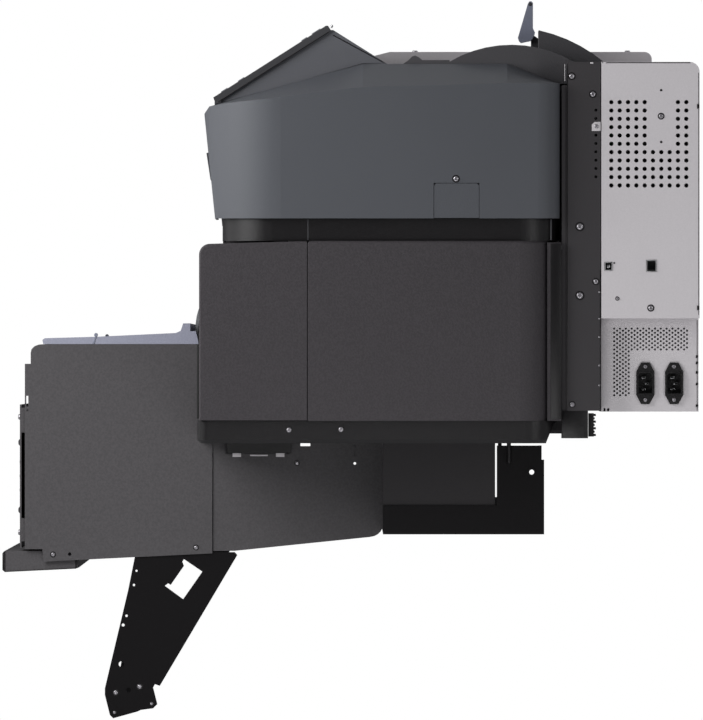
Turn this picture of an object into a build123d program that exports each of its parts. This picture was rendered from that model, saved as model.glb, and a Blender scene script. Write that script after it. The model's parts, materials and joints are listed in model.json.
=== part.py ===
from build123d import *

import math
import os

os.makedirs("parts", exist_ok=True)

# ---------------------------------------------------------------------------
# Driving dimensions, in millimetres.
# X runs along the machine (+X is the end with the control panel), -Y is the
# front, +Z is up. The origin is the middle of the base beam's underside.
# ---------------------------------------------------------------------------
HALF_WIDTH = 1310.0  # the end covers' outer faces
HOUSING_INNER = 884.0  # where the end covers start, seen from the middle
FRAME_OUTER = 870.0  # outer faces of the two end frames
PANEL_OUTER = 880.0  # outer faces of the lower side panels
PANEL_INNER = 876.0  # ends of everything carried between the dryer sides
SHEET = 2.0  # folded steel
THIN_SHEET = 1.5  # electronics covers
SKIN = 3.0  # moulded covers
FIT = 0.05  # radial running fit of a shaft in its bore
GAP = 0.5  # joint line between two covers

BEAM_HALF_LENGTH = 1170.0
BEAM_TOP = 35.0
RAIL_TOP = 110.0
BAND_TOP = 137.0
LOWER_TOP = 353.0
NECK_TOP = 380.0
CREASE_TOP = 542.0
COVER_TOP = 566.0
REAR_TOP = 568.0

COVER_FRONT = -318.0
DOOR_SEAM = -188.0
COVER_REAR = 103.0

STAND_BOLT_RADIUS = 4.5
STAND_BOLT_X = 1100.0
STAND_BOLT_Y = 60.0

PLATEN_TOP = 356.0
ROLLER_Y = 62.0
FEED_RADIUS = 12.0
FEED_Z = 343.5
PINCH_RADIUS = 8.0
PINCH_Z = 364.5
PINCH_SHAFT_Y = 104.0
PINCH_SHAFT_Z = 396.0

RAIL_BACK = 80.0
RAIL_FRONT = 40.0
RAIL_BOTTOM = 420.0
RAIL_HEIGHT_TOP = 520.0
RAIL_HALF_LENGTH = 1215.0
PULLEY_X = 1250.0
PULLEY_Y = 60.0
PULLEY_RADIUS = 12.0
PULLEY_BOTTOM = 524.0
PULLEY_TOP = 536.0
CARRIAGE_LOW_X = 960.0
CARRIAGE_HIGH_X = 1220.0

LEVER_Y = 86.0
LEVER_Z = 572.0
HINGE_Y = -116.0
HINGE_Z = 560.0
HINGE_PIN_RADIUS = 2.5
HINGE_EAR_RADIUS = 4.0

BOX_FRONT = 165.0
BOX_REAR = 283.0
BOX_BOTTOM = 260.0
BOX_LOW_X = 870.0
BOX_HIGH_X = 1288.0
POWER_HIGH_X = 1264.0
VENT_PITCH = 10.0
VENT_RADIUS = 2.6
FINE_PITCH_Y = 7.0
FINE_PITCH_Z = 2.5
FINE_RADIUS = 1.3
INLET_Z = 182.0
INLET_YS = (218.0, 252.6)
INLET_SCREW_OFFSET = 20.0


# ---------------------------------------------------------------------------
# Small helpers
# ---------------------------------------------------------------------------
def finish_piece(piece, name):
    """Label a finished piece and write its STEP file."""
    piece.part.label = name
    export_step(piece.part, f"parts/{name}.step")


def block(low, high, mode=Mode.ADD):
    """An upright box between two corners, in the open part."""
    size = [high[i] - low[i] for i in range(3)]
    centre = [(high[i] + low[i]) / 2 for i in range(3)]
    with Locations(tuple(centre)):
        Box(*size, mode=mode)


def rod_x(radius, x_low, x_high, y, z, mode=Mode.ADD):
    """A cylinder along X, in the open part."""
    with Locations(Location(((x_low + x_high) / 2, y, z), (0, 90, 0))):
        Cylinder(radius, x_high - x_low, mode=mode)


def rod_z(radius, x, y, z_low, z_high, mode=Mode.ADD):
    """An upright cylinder, in the open part."""
    with Locations((x, y, (z_low + z_high) / 2)):
        Cylinder(radius, z_high - z_low, mode=mode)


def side_face(points, x):
    """A closed outline of (y, z) points on the end plane at x."""
    with BuildSketch(Plane.YZ.offset(x)) as sketch:
        with BuildLine():
            Polyline(*points, close=True)
        make_face()
    return sketch.sketch


def slab(points, x_low, x_high, mode=Mode.ADD):
    """An end-on outline pushed from x_low to x_high, in the open part."""
    extrude(side_face(points, x_low), amount=x_high - x_low, mode=mode)


def plan_face(x_low, x_high, y_low, y_high, front_radius, rear_radius, z):
    """A rectangle seen from above, its two corners at x_high rounded."""
    with BuildSketch(Plane.XY.offset(z)) as sketch:
        with BuildLine():
            Line((x_low, y_low), (x_high - front_radius, y_low))
            CenterArc((x_high - front_radius, y_low + front_radius), front_radius, -90, 90)
            Line((x_high, y_low + front_radius), (x_high, y_high - rear_radius))
            CenterArc((x_high - rear_radius, y_high - rear_radius), rear_radius, 0, 90)
            Line((x_high - rear_radius, y_high), (x_low, y_high))
            Line((x_low, y_high), (x_low, y_low))
        make_face()
    return sketch.sketch


# ---------------------------------------------------------------------------
# Steel frame
# ---------------------------------------------------------------------------
def make_base_beam():
    """The flat box beam that the whole machine stands on, with its stand bolt holes."""
    wall = 3.0
    depth = 97.0
    access_radius = 12.0
    with BuildPart() as base_beam:
        block((-BEAM_HALF_LENGTH, -depth, 0), (BEAM_HALF_LENGTH, depth, BEAM_TOP))
        block(
            (-BEAM_HALF_LENGTH + wall, -depth + wall, wall),
            (BEAM_HALF_LENGTH - wall, depth - wall, BEAM_TOP - wall),
            mode=Mode.SUBTRACT,
        )
        for x in (-STAND_BOLT_X, STAND_BOLT_X):
            for y in (-STAND_BOLT_Y, STAND_BOLT_Y):
                rod_z(STAND_BOLT_RADIUS, x, y, 0, wall, mode=Mode.SUBTRACT)
                rod_z(access_radius, x, y, BEAM_TOP - wall, BEAM_TOP, mode=Mode.SUBTRACT)
    finish_piece(base_beam, "base_beam")


def make_main_beam():
    """The deep channel on the base beam that carries the end frames."""
    wall = 3.0
    front = -97.0
    rear = 38.0
    with BuildPart() as main_beam:
        block((-BEAM_HALF_LENGTH, front, BEAM_TOP), (BEAM_HALF_LENGTH, rear, RAIL_TOP))
        block(
            (-BEAM_HALF_LENGTH + wall, front + wall, BEAM_TOP),
            (BEAM_HALF_LENGTH - wall, rear - wall, RAIL_TOP - wall),
            mode=Mode.SUBTRACT,
        )
    finish_piece(main_beam, "main_beam")


def make_rear_brackets():
    """Black end plates of the base beam, each with a corner bracket at the rear."""
    outer = BEAM_HALF_LENGTH + 4.0
    top = 107.0
    toe = [(-97, 0), (97, 0), (97, 90), (94, 90), (94, top), (40, top), (40, BEAM_TOP), (-97, BEAM_TOP)]
    # the far end's bracket is smaller: it has no hole for the cable gland
    far_toe = [(-104, 0), (90, 0), (90, 97), (54, 97), (54, BEAM_TOP), (-104, BEAM_TOP)]
    with BuildPart() as rear_brackets:
        slab(toe, BEAM_HALF_LENGTH, outer)
        block((BEAM_HALF_LENGTH - 50, 90, BEAM_TOP), (outer, 94, top))
        rod_x(5.5, outer, outer + 1, 82, 75)
        rod_x(3.0, BEAM_HALF_LENGTH - 1, outer + 2, 82, 75, mode=Mode.SUBTRACT)
        slab(far_toe, -outer, -BEAM_HALF_LENGTH)
        block((-outer, 86, BEAM_TOP), (-BEAM_HALF_LENGTH + 50, 90, 97))
    finish_piece(rear_brackets, "rear_brackets")


def make_end_frames():
    """The two plates that hold the platen, the rollers, the rail and the deck."""
    thickness = 4.0
    # the tab at the front top closes the joint between the door and the neck band
    outline = [
        (-250, RAIL_TOP), (96, RAIL_TOP), (96, 125), (120, 125), (120, 560), (RAIL_BACK, 560),
        (RAIL_BACK, 350), (-212, 350), (-212, 362), (-291, 362), (-291, 300), (-250, 260),
    ]
    with BuildPart() as end_frames:
        slab(outline, FRAME_OUTER - thickness, FRAME_OUTER)
        rod_x(6.0 + FIT, FRAME_OUTER - 5, FRAME_OUTER + 1, ROLLER_Y, FEED_Z, mode=Mode.SUBTRACT)
        rod_x(
            6.0 + FIT, FRAME_OUTER - 5, FRAME_OUTER + 1, PINCH_SHAFT_Y, PINCH_SHAFT_Z, mode=Mode.SUBTRACT
        )
        # the foot turned outwards onto the main beam
        block((FRAME_OUTER - thickness, -95, RAIL_TOP), (FRAME_OUTER + 9, 35, RAIL_TOP + 4))
        mirror(about=Plane.YZ)
        # the lever's pivot pin and its ear are on the panel end only
        block((FRAME_OUTER - thickness, RAIL_BACK, 558), (FRAME_OUTER, 98, 578))
        rod_x(4.0, FRAME_OUTER, 938, LEVER_Y, LEVER_Z)
    finish_piece(end_frames, "end_frames")


def make_lower_side_panels():
    """Grey sheet panels under the base trays, with a notch for the latch block."""
    outline = [
        (-302.9, -21.6), (-276.6, -21.6), (-112.6, -4.8), (-107.7, -3.8), (-103.1, -1.5), (-99.6, 1.9),
        (-97.4, 6.1), (-97, 10.8),
        (-97, RAIL_TOP), (-185, RAIL_TOP), (-185, 105.5), (-197, 105.5), (-197, RAIL_TOP),
        (-209, RAIL_TOP), (-209, 96), (-288, 96), (-288, RAIL_TOP), (-303, RAIL_TOP),
    ]
    hole_radius = 1.6
    with BuildPart() as lower_side_panels:
        slab(outline, PANEL_OUTER - SHEET, PANEL_OUTER)
        block((PANEL_OUTER - 40, -97 - SHEET, 40), (PANEL_OUTER, -97, 108))
        for z in (84.5, 95.5, 105.5):
            rod_x(hole_radius, PANEL_OUTER - SHEET, PANEL_OUTER, -131, z, mode=Mode.SUBTRACT)
        mirror(about=Plane.YZ)
        rod_x(4.0, -PANEL_OUTER - 1, -PANEL_OUTER + SHEET + 1, -131, 78, mode=Mode.SUBTRACT)
        # the far panel is cut away further round the same gap
        far_cut = (-PANEL_OUTER + SHEET + 1, -183, RAIL_TOP + 1)
        block((-PANEL_OUTER - 1, -203, 98), far_cut, mode=Mode.SUBTRACT)
    finish_piece(lower_side_panels, "lower_side_panels")


def make_rear_frames():
    """Dark folded posts behind the end covers, with their lower terminal blocks."""
    web_low = BOX_HIGH_X - SHEET
    front = 124.0
    back = 164.0
    bottom = 149.0
    with BuildPart() as rear_frames:
        block((web_low, front, bottom), (BOX_HIGH_X, back, REAR_TOP))
        block((web_low - 40, front, bottom), (web_low, front + SHEET, REAR_TOP))
        block((web_low - 3, 117.5, bottom), (web_low - 1, front + SHEET, 540))
        block((web_low - 90, 117.5, 116), (BOX_HIGH_X, 149, bottom))
        with Locations(*[Location((web_low + 1, 158.4, 510 - 10 * i), (0, 90, 0)) for i in range(9)]):
            Cylinder(1.8, SHEET + 1, mode=Mode.SUBTRACT)
        mirror(about=Plane.YZ)
    finish_piece(rear_frames, "rear_frames")


def make_back_panel():
    """The rear sheets round the window where the media enters: lower, upper and two side ones."""
    slot_half = 830.0
    slot_low = 330.0
    slot_high = 420.0
    edge = BOX_HIGH_X - SHEET
    joint = 1.0
    with BuildPart() as back_panel:
        block((-slot_half, 162, 149), (slot_half, 164, slot_low))
        block((-slot_half, 162, slot_high), (slot_half, 164, 580))
        block((slot_half + joint, 162, 149), (edge, 164, REAR_TOP))
        block((-edge, 162, 149), (-slot_half - joint, 164, REAR_TOP))
        # room for the ends of the top deck
        for x in (-865, 865):
            block((x - 5, 161, 555), (x + 5, 165, REAR_TOP), mode=Mode.SUBTRACT)
    finish_piece(back_panel, "back_panel")


def make_top_deck():
    """The bright folded sheet that closes the top between the end housings."""
    top = 584.0
    front = -106.5
    lip = 579.5  # the front edge is bent down a little
    rear = 229.5
    half = 866.0
    flange = 562.0
    corner = 9.0
    nose = -88.5
    end = [
        (front, flange), (front, lip), (nose, top), (rear - corner, top), (rear - 3, top - 3),
        (rear, top - corner), (rear, flange), (rear - 14, flange - 6), (84, flange - 6), (76, flange),
    ]
    with BuildPart() as top_deck:
        with BuildSketch(Plane.YZ.offset(-half)):
            with BuildLine():
                Line((front, flange), (front, lip))
                Line((front, lip), (nose, top))
                Line((nose, top), (rear - corner, top))
                CenterArc((rear - corner, top - corner), corner, 0, 90)
                Line((rear, top - corner), (rear, flange))
                Line((rear, flange), (rear - SHEET, flange))
                Line((rear - SHEET, flange), (rear - SHEET, top - corner))
                CenterArc((rear - corner, top - corner), corner - SHEET, 0, 90)
                Line((rear - corner, top - SHEET), (nose, top - SHEET))
                Line((nose, top - SHEET), (front + SHEET, lip - 1))
                Line((front + SHEET, lip - 1), (front + SHEET, flange))
                Line((front + SHEET, flange), (front, flange))
            make_face()
        extrude(amount=2 * half)
        # end plates, each with an ear in front that holds the cover's hinge pin
        ear = [(-100, flange + 6), (HINGE_Y, flange + 2), (HINGE_Y, flange - 6), (-100, flange - 6)]
        for inner, outer in ((half - SHEET, half), (-half, -half + SHEET)):
            slab(end, inner, outer)
            slab(ear, inner, outer)
            rod_x(HINGE_EAR_RADIUS, inner, outer, HINGE_Y, HINGE_Z)
        for side in (-1, 1):
            rod_x(HINGE_PIN_RADIUS, *sorted((side * (half - 14), side * (half - SHEET))), HINGE_Y, HINGE_Z)
    finish_piece(top_deck, "top_deck")


# ---------------------------------------------------------------------------
# End covers
# ---------------------------------------------------------------------------
def make_base_trays():
    """Black drip trays under the end covers, with a latch block below each."""
    low = HOUSING_INNER
    high = HALF_WIDTH - 4
    with BuildPart() as base_trays:
        extrude(plan_face(low, high, -320, 110, 12, 36, RAIL_TOP), amount=BAND_TOP - RAIL_TOP)
        chamfer(
            base_trays.faces().sort_by(Axis.Z)[0].edges().sort_by(Axis.X)[1:], length=4
        )
        rear_slope = [(98, RAIL_TOP - 1), (112, RAIL_TOP - 1), (112, 134), (108, 134)]
        slab(rear_slope, low - 1, high + 1, mode=Mode.SUBTRACT)
        extrude(
            plan_face(low + SKIN, high - SKIN, -320 + SKIN, 94, 9, 33, RAIL_TOP + SKIN),
            amount=BAND_TOP - RAIL_TOP,
            mode=Mode.SUBTRACT,
        )
        block((low, -286, 97), (low + 30, -208, RAIL_TOP))
        for y in (-274, -221.5):
            block((low, y - 5.5, 93), (low + 24, y + 5.5, 97))
        rod_z(2.5, BEAM_HALF_LENGTH + 8, 54.5, 86, RAIL_TOP)
        mirror(about=Plane.YZ)
    finish_piece(base_trays, "base_trays")


def make_lower_covers():
    """Grained lower end covers behind the corner doors, open to the front and below."""
    low_x = HOUSING_INNER
    rear_radius = 36.0
    edge = 4.0
    with BuildPart() as lower_covers:
        extrude(
            plan_face(low_x, HALF_WIDTH, DOOR_SEAM + GAP, COVER_REAR, 0.5, rear_radius, BAND_TOP),
            amount=LOWER_TOP - BAND_TOP,
        )
        fillet(lower_covers.faces().sort_by(Axis.Z)[-1].edges().sort_by(Axis.X)[-3:], radius=edge)
        # a set-back strip that laps over the edge of the rear post
        block((HALF_WIDTH - 46, COVER_REAR - SKIN, BAND_TOP), (HALF_WIDTH - 14, 117, LOWER_TOP - 2))
        extrude(
            plan_face(
                low_x - 1, HALF_WIDTH - SKIN, DOOR_SEAM - 5, COVER_REAR - SKIN, 0.5,
                rear_radius - SKIN, BAND_TOP - 1,
            ),
            amount=LOWER_TOP - BAND_TOP - SKIN + 1,
            mode=Mode.SUBTRACT,
        )
        # the capping station and the wiper come up through this opening
        block((905, -160, LOWER_TOP - 10), (1280, 60, LOWER_TOP + 1), mode=Mode.SUBTRACT)
        mirror(about=Plane.YZ)
    finish_piece(lower_covers, "lower_covers")


def make_front_doors():
    """Corner doors that wrap the front of each lower end cover."""
    low_z = BAND_TOP + GAP
    high_z = LOWER_TOP - GAP
    radius = 13.0
    inner = [
        (COVER_FRONT + SKIN, low_z - 1), (DOOR_SEAM, low_z - 1), (DOOR_SEAM, high_z - SKIN),
        (COVER_FRONT + radius, high_z - SKIN - 3), (COVER_FRONT + SKIN, high_z - radius - SKIN),
    ]
    with BuildPart() as front_door_right:
        with BuildSketch(Plane.YZ.offset(HOUSING_INNER + 2)):
            with BuildLine():
                Line((DOOR_SEAM - GAP, low_z), (COVER_FRONT, low_z))
                Line((COVER_FRONT, low_z), (COVER_FRONT, high_z - radius - 3))
                CenterArc((COVER_FRONT + radius, high_z - radius - 3), radius, 180, -90)
                Line((COVER_FRONT + radius, high_z - 3), (-200, high_z))
                Line((-200, high_z), (DOOR_SEAM - GAP, high_z))
                Line((DOOR_SEAM - GAP, high_z), (DOOR_SEAM - GAP, low_z))
            make_face()
        extrude(amount=HALF_WIDTH - HOUSING_INNER - 2)
        upright = front_door_right.edges().filter_by(Axis.Z).sort_by(Axis.Y).group_by(Axis.Y)[0]
        fillet(upright.sort_by(Axis.X)[-1], radius=2.4)
        slab(inner, HOUSING_INNER, HALF_WIDTH - SKIN, mode=Mode.SUBTRACT)
    finish_piece(front_door_right, "front_door_right")
    with BuildPart() as front_door_left:
        mirror(front_door_right.part, about=Plane.YZ)
    finish_piece(front_door_left, "front_door_left")


def make_neck_bands():
    """Black recessed bands between the lower and the upper end covers."""
    high_x = HALF_WIDTH - 8
    with BuildPart() as neck_bands:
        extrude(plan_face(HOUSING_INNER, high_x, -290, 115, 60, 48, LOWER_TOP), amount=NECK_TOP - LOWER_TOP)
        extrude(
            plan_face(HOUSING_INNER - 1, high_x - SKIN, -287, 112, 57, 45, LOWER_TOP - 1),
            amount=NECK_TOP - LOWER_TOP + 2,
            mode=Mode.SUBTRACT,
        )
        mirror(about=Plane.YZ)
    finish_piece(neck_bands, "neck_bands")


SLOPE_FRONT = (-305.0, 515.0)
SLOPE_REAR = (-121.0, COVER_TOP)


def slope_height(y):
    """Height of the upper cover's sloping top at y."""
    rise = (SLOPE_REAR[1] - SLOPE_FRONT[1]) / (SLOPE_REAR[0] - SLOPE_FRONT[0])
    return SLOPE_FRONT[1] + rise * (y - SLOPE_FRONT[0])


def shoulder_face(crease, inset, x):
    """Outline of an upper cover at x: under the crease at the end face, full height further in."""
    front_low = (-299.0 + inset, NECK_TOP)
    front_high = (-312.0 + inset, 506.0 - inset)
    if crease:
        corner = (-306.0 + inset, 513.5 - inset)
        middle = (-209.0, 527.0 - inset)
        knee = (SLOPE_REAR[0], 537.5 - inset)
        flat = (52.0, CREASE_TOP - inset)
    else:
        corner = (-306.0 + inset, 514.7 - inset)
        middle = (-209.0, slope_height(-209.0) + 0.6 - inset)
        knee = (SLOPE_REAR[0], COVER_TOP - inset)
        flat = (52.0, COVER_TOP - inset)
    rear_high = (115.0 - inset, CREASE_TOP - inset)
    rear_low = (115.0 - inset, NECK_TOP)
    with BuildSketch(Plane.YZ.offset(x)) as sketch:
        with BuildLine():
            Line(front_low, front_high)
            Line(front_high, corner)
            ThreePointArc(corner, middle, knee)
            Line(knee, flat)
            Line(flat, rear_high)
            Line(rear_high, rear_low)
            Line(rear_low, front_low)
        make_face()
    return sketch.sketch


def make_upper_covers():
    """Slate upper end covers: a flat end face, a crease, and a shoulder rising to the sloping top."""
    shoulder_x = 1246.0
    front_radius = 92.0
    rear_radius = 26.0
    with BuildPart() as outer:
        loft([shoulder_face(False, 0, shoulder_x), shoulder_face(True, 0, HALF_WIDTH)], ruled=True)
        extrude(shoulder_face(False, 0, HOUSING_INNER), amount=shoulder_x - HOUSING_INNER)
        extrude(
            plan_face(HOUSING_INNER - 1, HALF_WIDTH, -312, 115, front_radius, rear_radius, NECK_TOP - 1),
            amount=COVER_TOP - NECK_TOP + 40,
            mode=Mode.INTERSECT,
        )
    with BuildPart() as inner:
        loft(
            [shoulder_face(False, SKIN, shoulder_x), shoulder_face(True, SKIN, HALF_WIDTH)], ruled=True
        )
        extrude(shoulder_face(False, SKIN, HOUSING_INNER - 2), amount=shoulder_x - HOUSING_INNER + 2)
        extrude(
            plan_face(
                HOUSING_INNER - 3, HALF_WIDTH - SKIN, -312 + SKIN, 115 - SKIN,
                front_radius - SKIN, rear_radius - SKIN, NECK_TOP - 1,
            ),
            amount=COVER_TOP - NECK_TOP + 40,
            mode=Mode.INTERSECT,
        )
    with BuildPart() as upper_covers:
        add(outer.part)
        add(inner.part, mode=Mode.SUBTRACT)
        block((HALF_WIDTH - SKIN - 1, -36.5, NECK_TOP), (HALF_WIDTH + 1, 18.5, 422.5), mode=Mode.SUBTRACT)
        mirror(about=Plane.YZ)
    finish_piece(upper_covers, "upper_covers")


def make_service_caps():
    """Small covers let into the end faces, each held by one screw above it."""
    with BuildPart() as service_caps:
        block((HALF_WIDTH - SKIN, -36, NECK_TOP + GAP), (HALF_WIDTH - 0.4, 18, 422))
        top_edges = service_caps.edges().filter_by(Axis.X).group_by(Axis.Z)[-1]
        fillet(top_edges, radius=4)
        mirror(about=Plane.YZ)
    finish_piece(service_caps, "service_caps")


def arch(front, crown, rear, floor, x_low, x_high, mode=Mode.ADD):
    """A block under an arc of three (y, z) points, down to the floor height, in the open part."""
    with BuildSketch(Plane.YZ.offset(x_low)) as sketch:
        with BuildLine():
            ThreePointArc(front, crown, rear)
            Line(rear, (rear[0], floor))
            Line((rear[0], floor), (front[0], floor))
            Line((front[0], floor), front)
        make_face()
    extrude(sketch.sketch, amount=x_high - x_low, mode=mode)


COVER_ROOF = [
    (-130, 480), (140, 480), (140, CREASE_TOP), (115, CREASE_TOP), (52, COVER_TOP), (-130, COVER_TOP),
]


def make_dome_covers():
    """Dark arched hoods on the housings, over the ends of the carriage drive."""
    low, high = 1104.0, 1242.0
    with BuildPart() as dome_covers:
        arch((-20, 567), (55, 589), (133, 568), 530, low, high)
        arch((-10, 566), (55, 585), (130, 566), 529, low + SKIN, high - SKIN, mode=Mode.SUBTRACT)
        slab(COVER_ROOF, low - 1, high + 1, mode=Mode.SUBTRACT)
        # the low step in front of the hood, with the stop that the front cover opens against
        slab(
            [
                (-73, COVER_TOP), (-67, 570), (-62, 575), (-58.5, 576), (-54, 574), (-50, 570.6),
                (-17, 570.6), (-17, COVER_TOP),
            ],
            low,
            high,
        )
        mirror(about=Plane.YZ)
    finish_piece(dome_covers, "dome_covers")


def make_rear_shoulders():
    """Dark curved guards behind the lever, falling to the top of the rear posts."""
    low, high = 944.0, 1096.0
    with BuildPart() as rear_shoulders:
        arch((91, 608), (140.5, 589.5), (170.5, 569), 530, low, high)
        arch((94, 605), (139.5, 586.5), (167.5, 567), 529, low + SKIN, high - SKIN, mode=Mode.SUBTRACT)
        slab(COVER_ROOF, low - 1, high + 1, mode=Mode.SUBTRACT)
        block((low - 1, 140, 520), (high + 1, 172, REAR_TOP), mode=Mode.SUBTRACT)
        mirror(about=Plane.YZ)
    finish_piece(rear_shoulders, "rear_shoulders")


# ---------------------------------------------------------------------------
# Control panel
# ---------------------------------------------------------------------------
FACE_FRONT = (-301.2, 525.6)  # lower end of the panel's face
FACE_REAR = (-165.6, 612.0)  # upper end of the panel's face
FACE_LENGTH = math.dist(FACE_FRONT, FACE_REAR)
FACE_ALONG = ((FACE_REAR[0] - FACE_FRONT[0]) / FACE_LENGTH, (FACE_REAR[1] - FACE_FRONT[1]) / FACE_LENGTH)
FACE_OUT = (-FACE_ALONG[1], FACE_ALONG[0])
FACE_THICKNESS = 7.5
PANEL_LOW_X = 925.0
PANEL_HIGH_X = 1242.0
KEY_GAP = 0.4
KEY_POCKET = 4.0
KEY_BELOW = 2.6
KEY_PROUD = 1.2
# each key: distance up the face, x of its middle, width across x, length up the face
KEYS = {
    "key_power": (16.0, 1208.0, 18.0, 9.0),
    "key_menu": (40.0, 1208.0, 18.0, 9.0),
    "key_feed": (130.0, 1208.0, 22.0, 8.0),
    "key_enter": (147.0, 1208.0, 34.0, 12.0),
}


def face_point(along, out):
    """(y, z) of a point a distance up the panel's face and a height above it."""
    return (
        FACE_FRONT[0] + along * FACE_ALONG[0] + out * FACE_OUT[0],
        FACE_FRONT[1] + along * FACE_ALONG[1] + out * FACE_OUT[1],
    )


def face_plane(along, x, out):
    """A plane parallel to the panel's face, its own Y up the face."""
    y, z = face_point(along, out)
    return Plane(origin=(x, y, z), x_dir=(1, 0, 0), z_dir=(0, FACE_OUT[0], FACE_OUT[1]))


def face_block(along, x, width, length, low, high, mode=Mode.ADD, radius=1.5):
    """A rounded block on the panel's face, between two heights, in the open part."""
    with BuildSketch(face_plane(along, x, low)) as sketch:
        RectangleRounded(width, length, radius)
    extrude(sketch.sketch, amount=high - low, mode=mode)


def make_control_panel():
    """The tilted control panel: housing, face, screen and four keys."""
    under_front = face_point(6.0, -FACE_THICKNESS)
    under_rear = face_point(FACE_LENGTH + 2, -FACE_THICKNESS)
    with BuildPart() as panel_housing:
        slab(
            [
                (under_front[0], slope_height(under_front[0]) + 0.7), under_front, under_rear,
                (under_rear[0] + 3, under_rear[1]), (-92, COVER_TOP), (-121, COVER_TOP + 0.7),
            ],
            PANEL_LOW_X + 4,
            PANEL_HIGH_X - 4,
        )
        slab(
            [(-281, 526.5), (-160, 601), (-104, 568.5), (-122, 568.5)],
            PANEL_LOW_X + 8,
            PANEL_HIGH_X - 8,
            mode=Mode.SUBTRACT,
        )
    finish_piece(panel_housing, "panel_housing")

    nose = face_point(-1.0, -FACE_THICKNESS + 3)
    with BuildPart() as panel_face:
        slab(
            [
                (nose[0], slope_height(nose[0]) + 0.9), nose, face_point(0, 0),
                face_point(FACE_LENGTH, 0), face_point(FACE_LENGTH + 2, -1.5),
                under_rear, under_front, (under_front[0], slope_height(under_front[0]) + 0.9),
            ],
            PANEL_LOW_X,
            PANEL_HIGH_X,
        )
        face_block(84, 1060, 190, 76, -2, 1, mode=Mode.SUBTRACT)
        for along, x, width, length in KEYS.values():
            face_block(
                along, x, width + 2 * KEY_GAP, length + 2 * KEY_GAP, -KEY_POCKET, 1, mode=Mode.SUBTRACT
            )
    finish_piece(panel_face, "panel_face")

    with BuildPart() as panel_screen:
        face_block(84, 1060, 189.6, 75.6, -2, 0.3)
    finish_piece(panel_screen, "panel_screen")

    for name, (along, x, width, length) in KEYS.items():
        with BuildPart() as key:
            face_block(along, x, width, length, -KEY_BELOW, KEY_PROUD)
        finish_piece(key, name)


def make_media_lever():
    """The upright lever that lifts the pinch rollers, on its hub."""
    blade = [
        (66.8, 600.8), (68, 596.7), (70.4, 594.2), (82.5, 596.7), (86.7, 603.8), (87.4, 606.8),
        (84.9, 611.9), (84.9, 642.7), (83.1, 644.7), (80.6, 644.7), (78.9, 642.2),
    ]
    stem = [(82.5, 572), (93.5, 572), (93.5, 598), (82.5, 606)]
    with BuildPart() as media_lever:
        slab(blade, 895, 935)
        slab(stem, 905, 925)
        rod_x(9.0, 900, 930, LEVER_Y, LEVER_Z)
        rod_x(4.0 + FIT, 890, 940, LEVER_Y, LEVER_Z, mode=Mode.SUBTRACT)
    finish_piece(media_lever, "media_lever")


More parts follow.
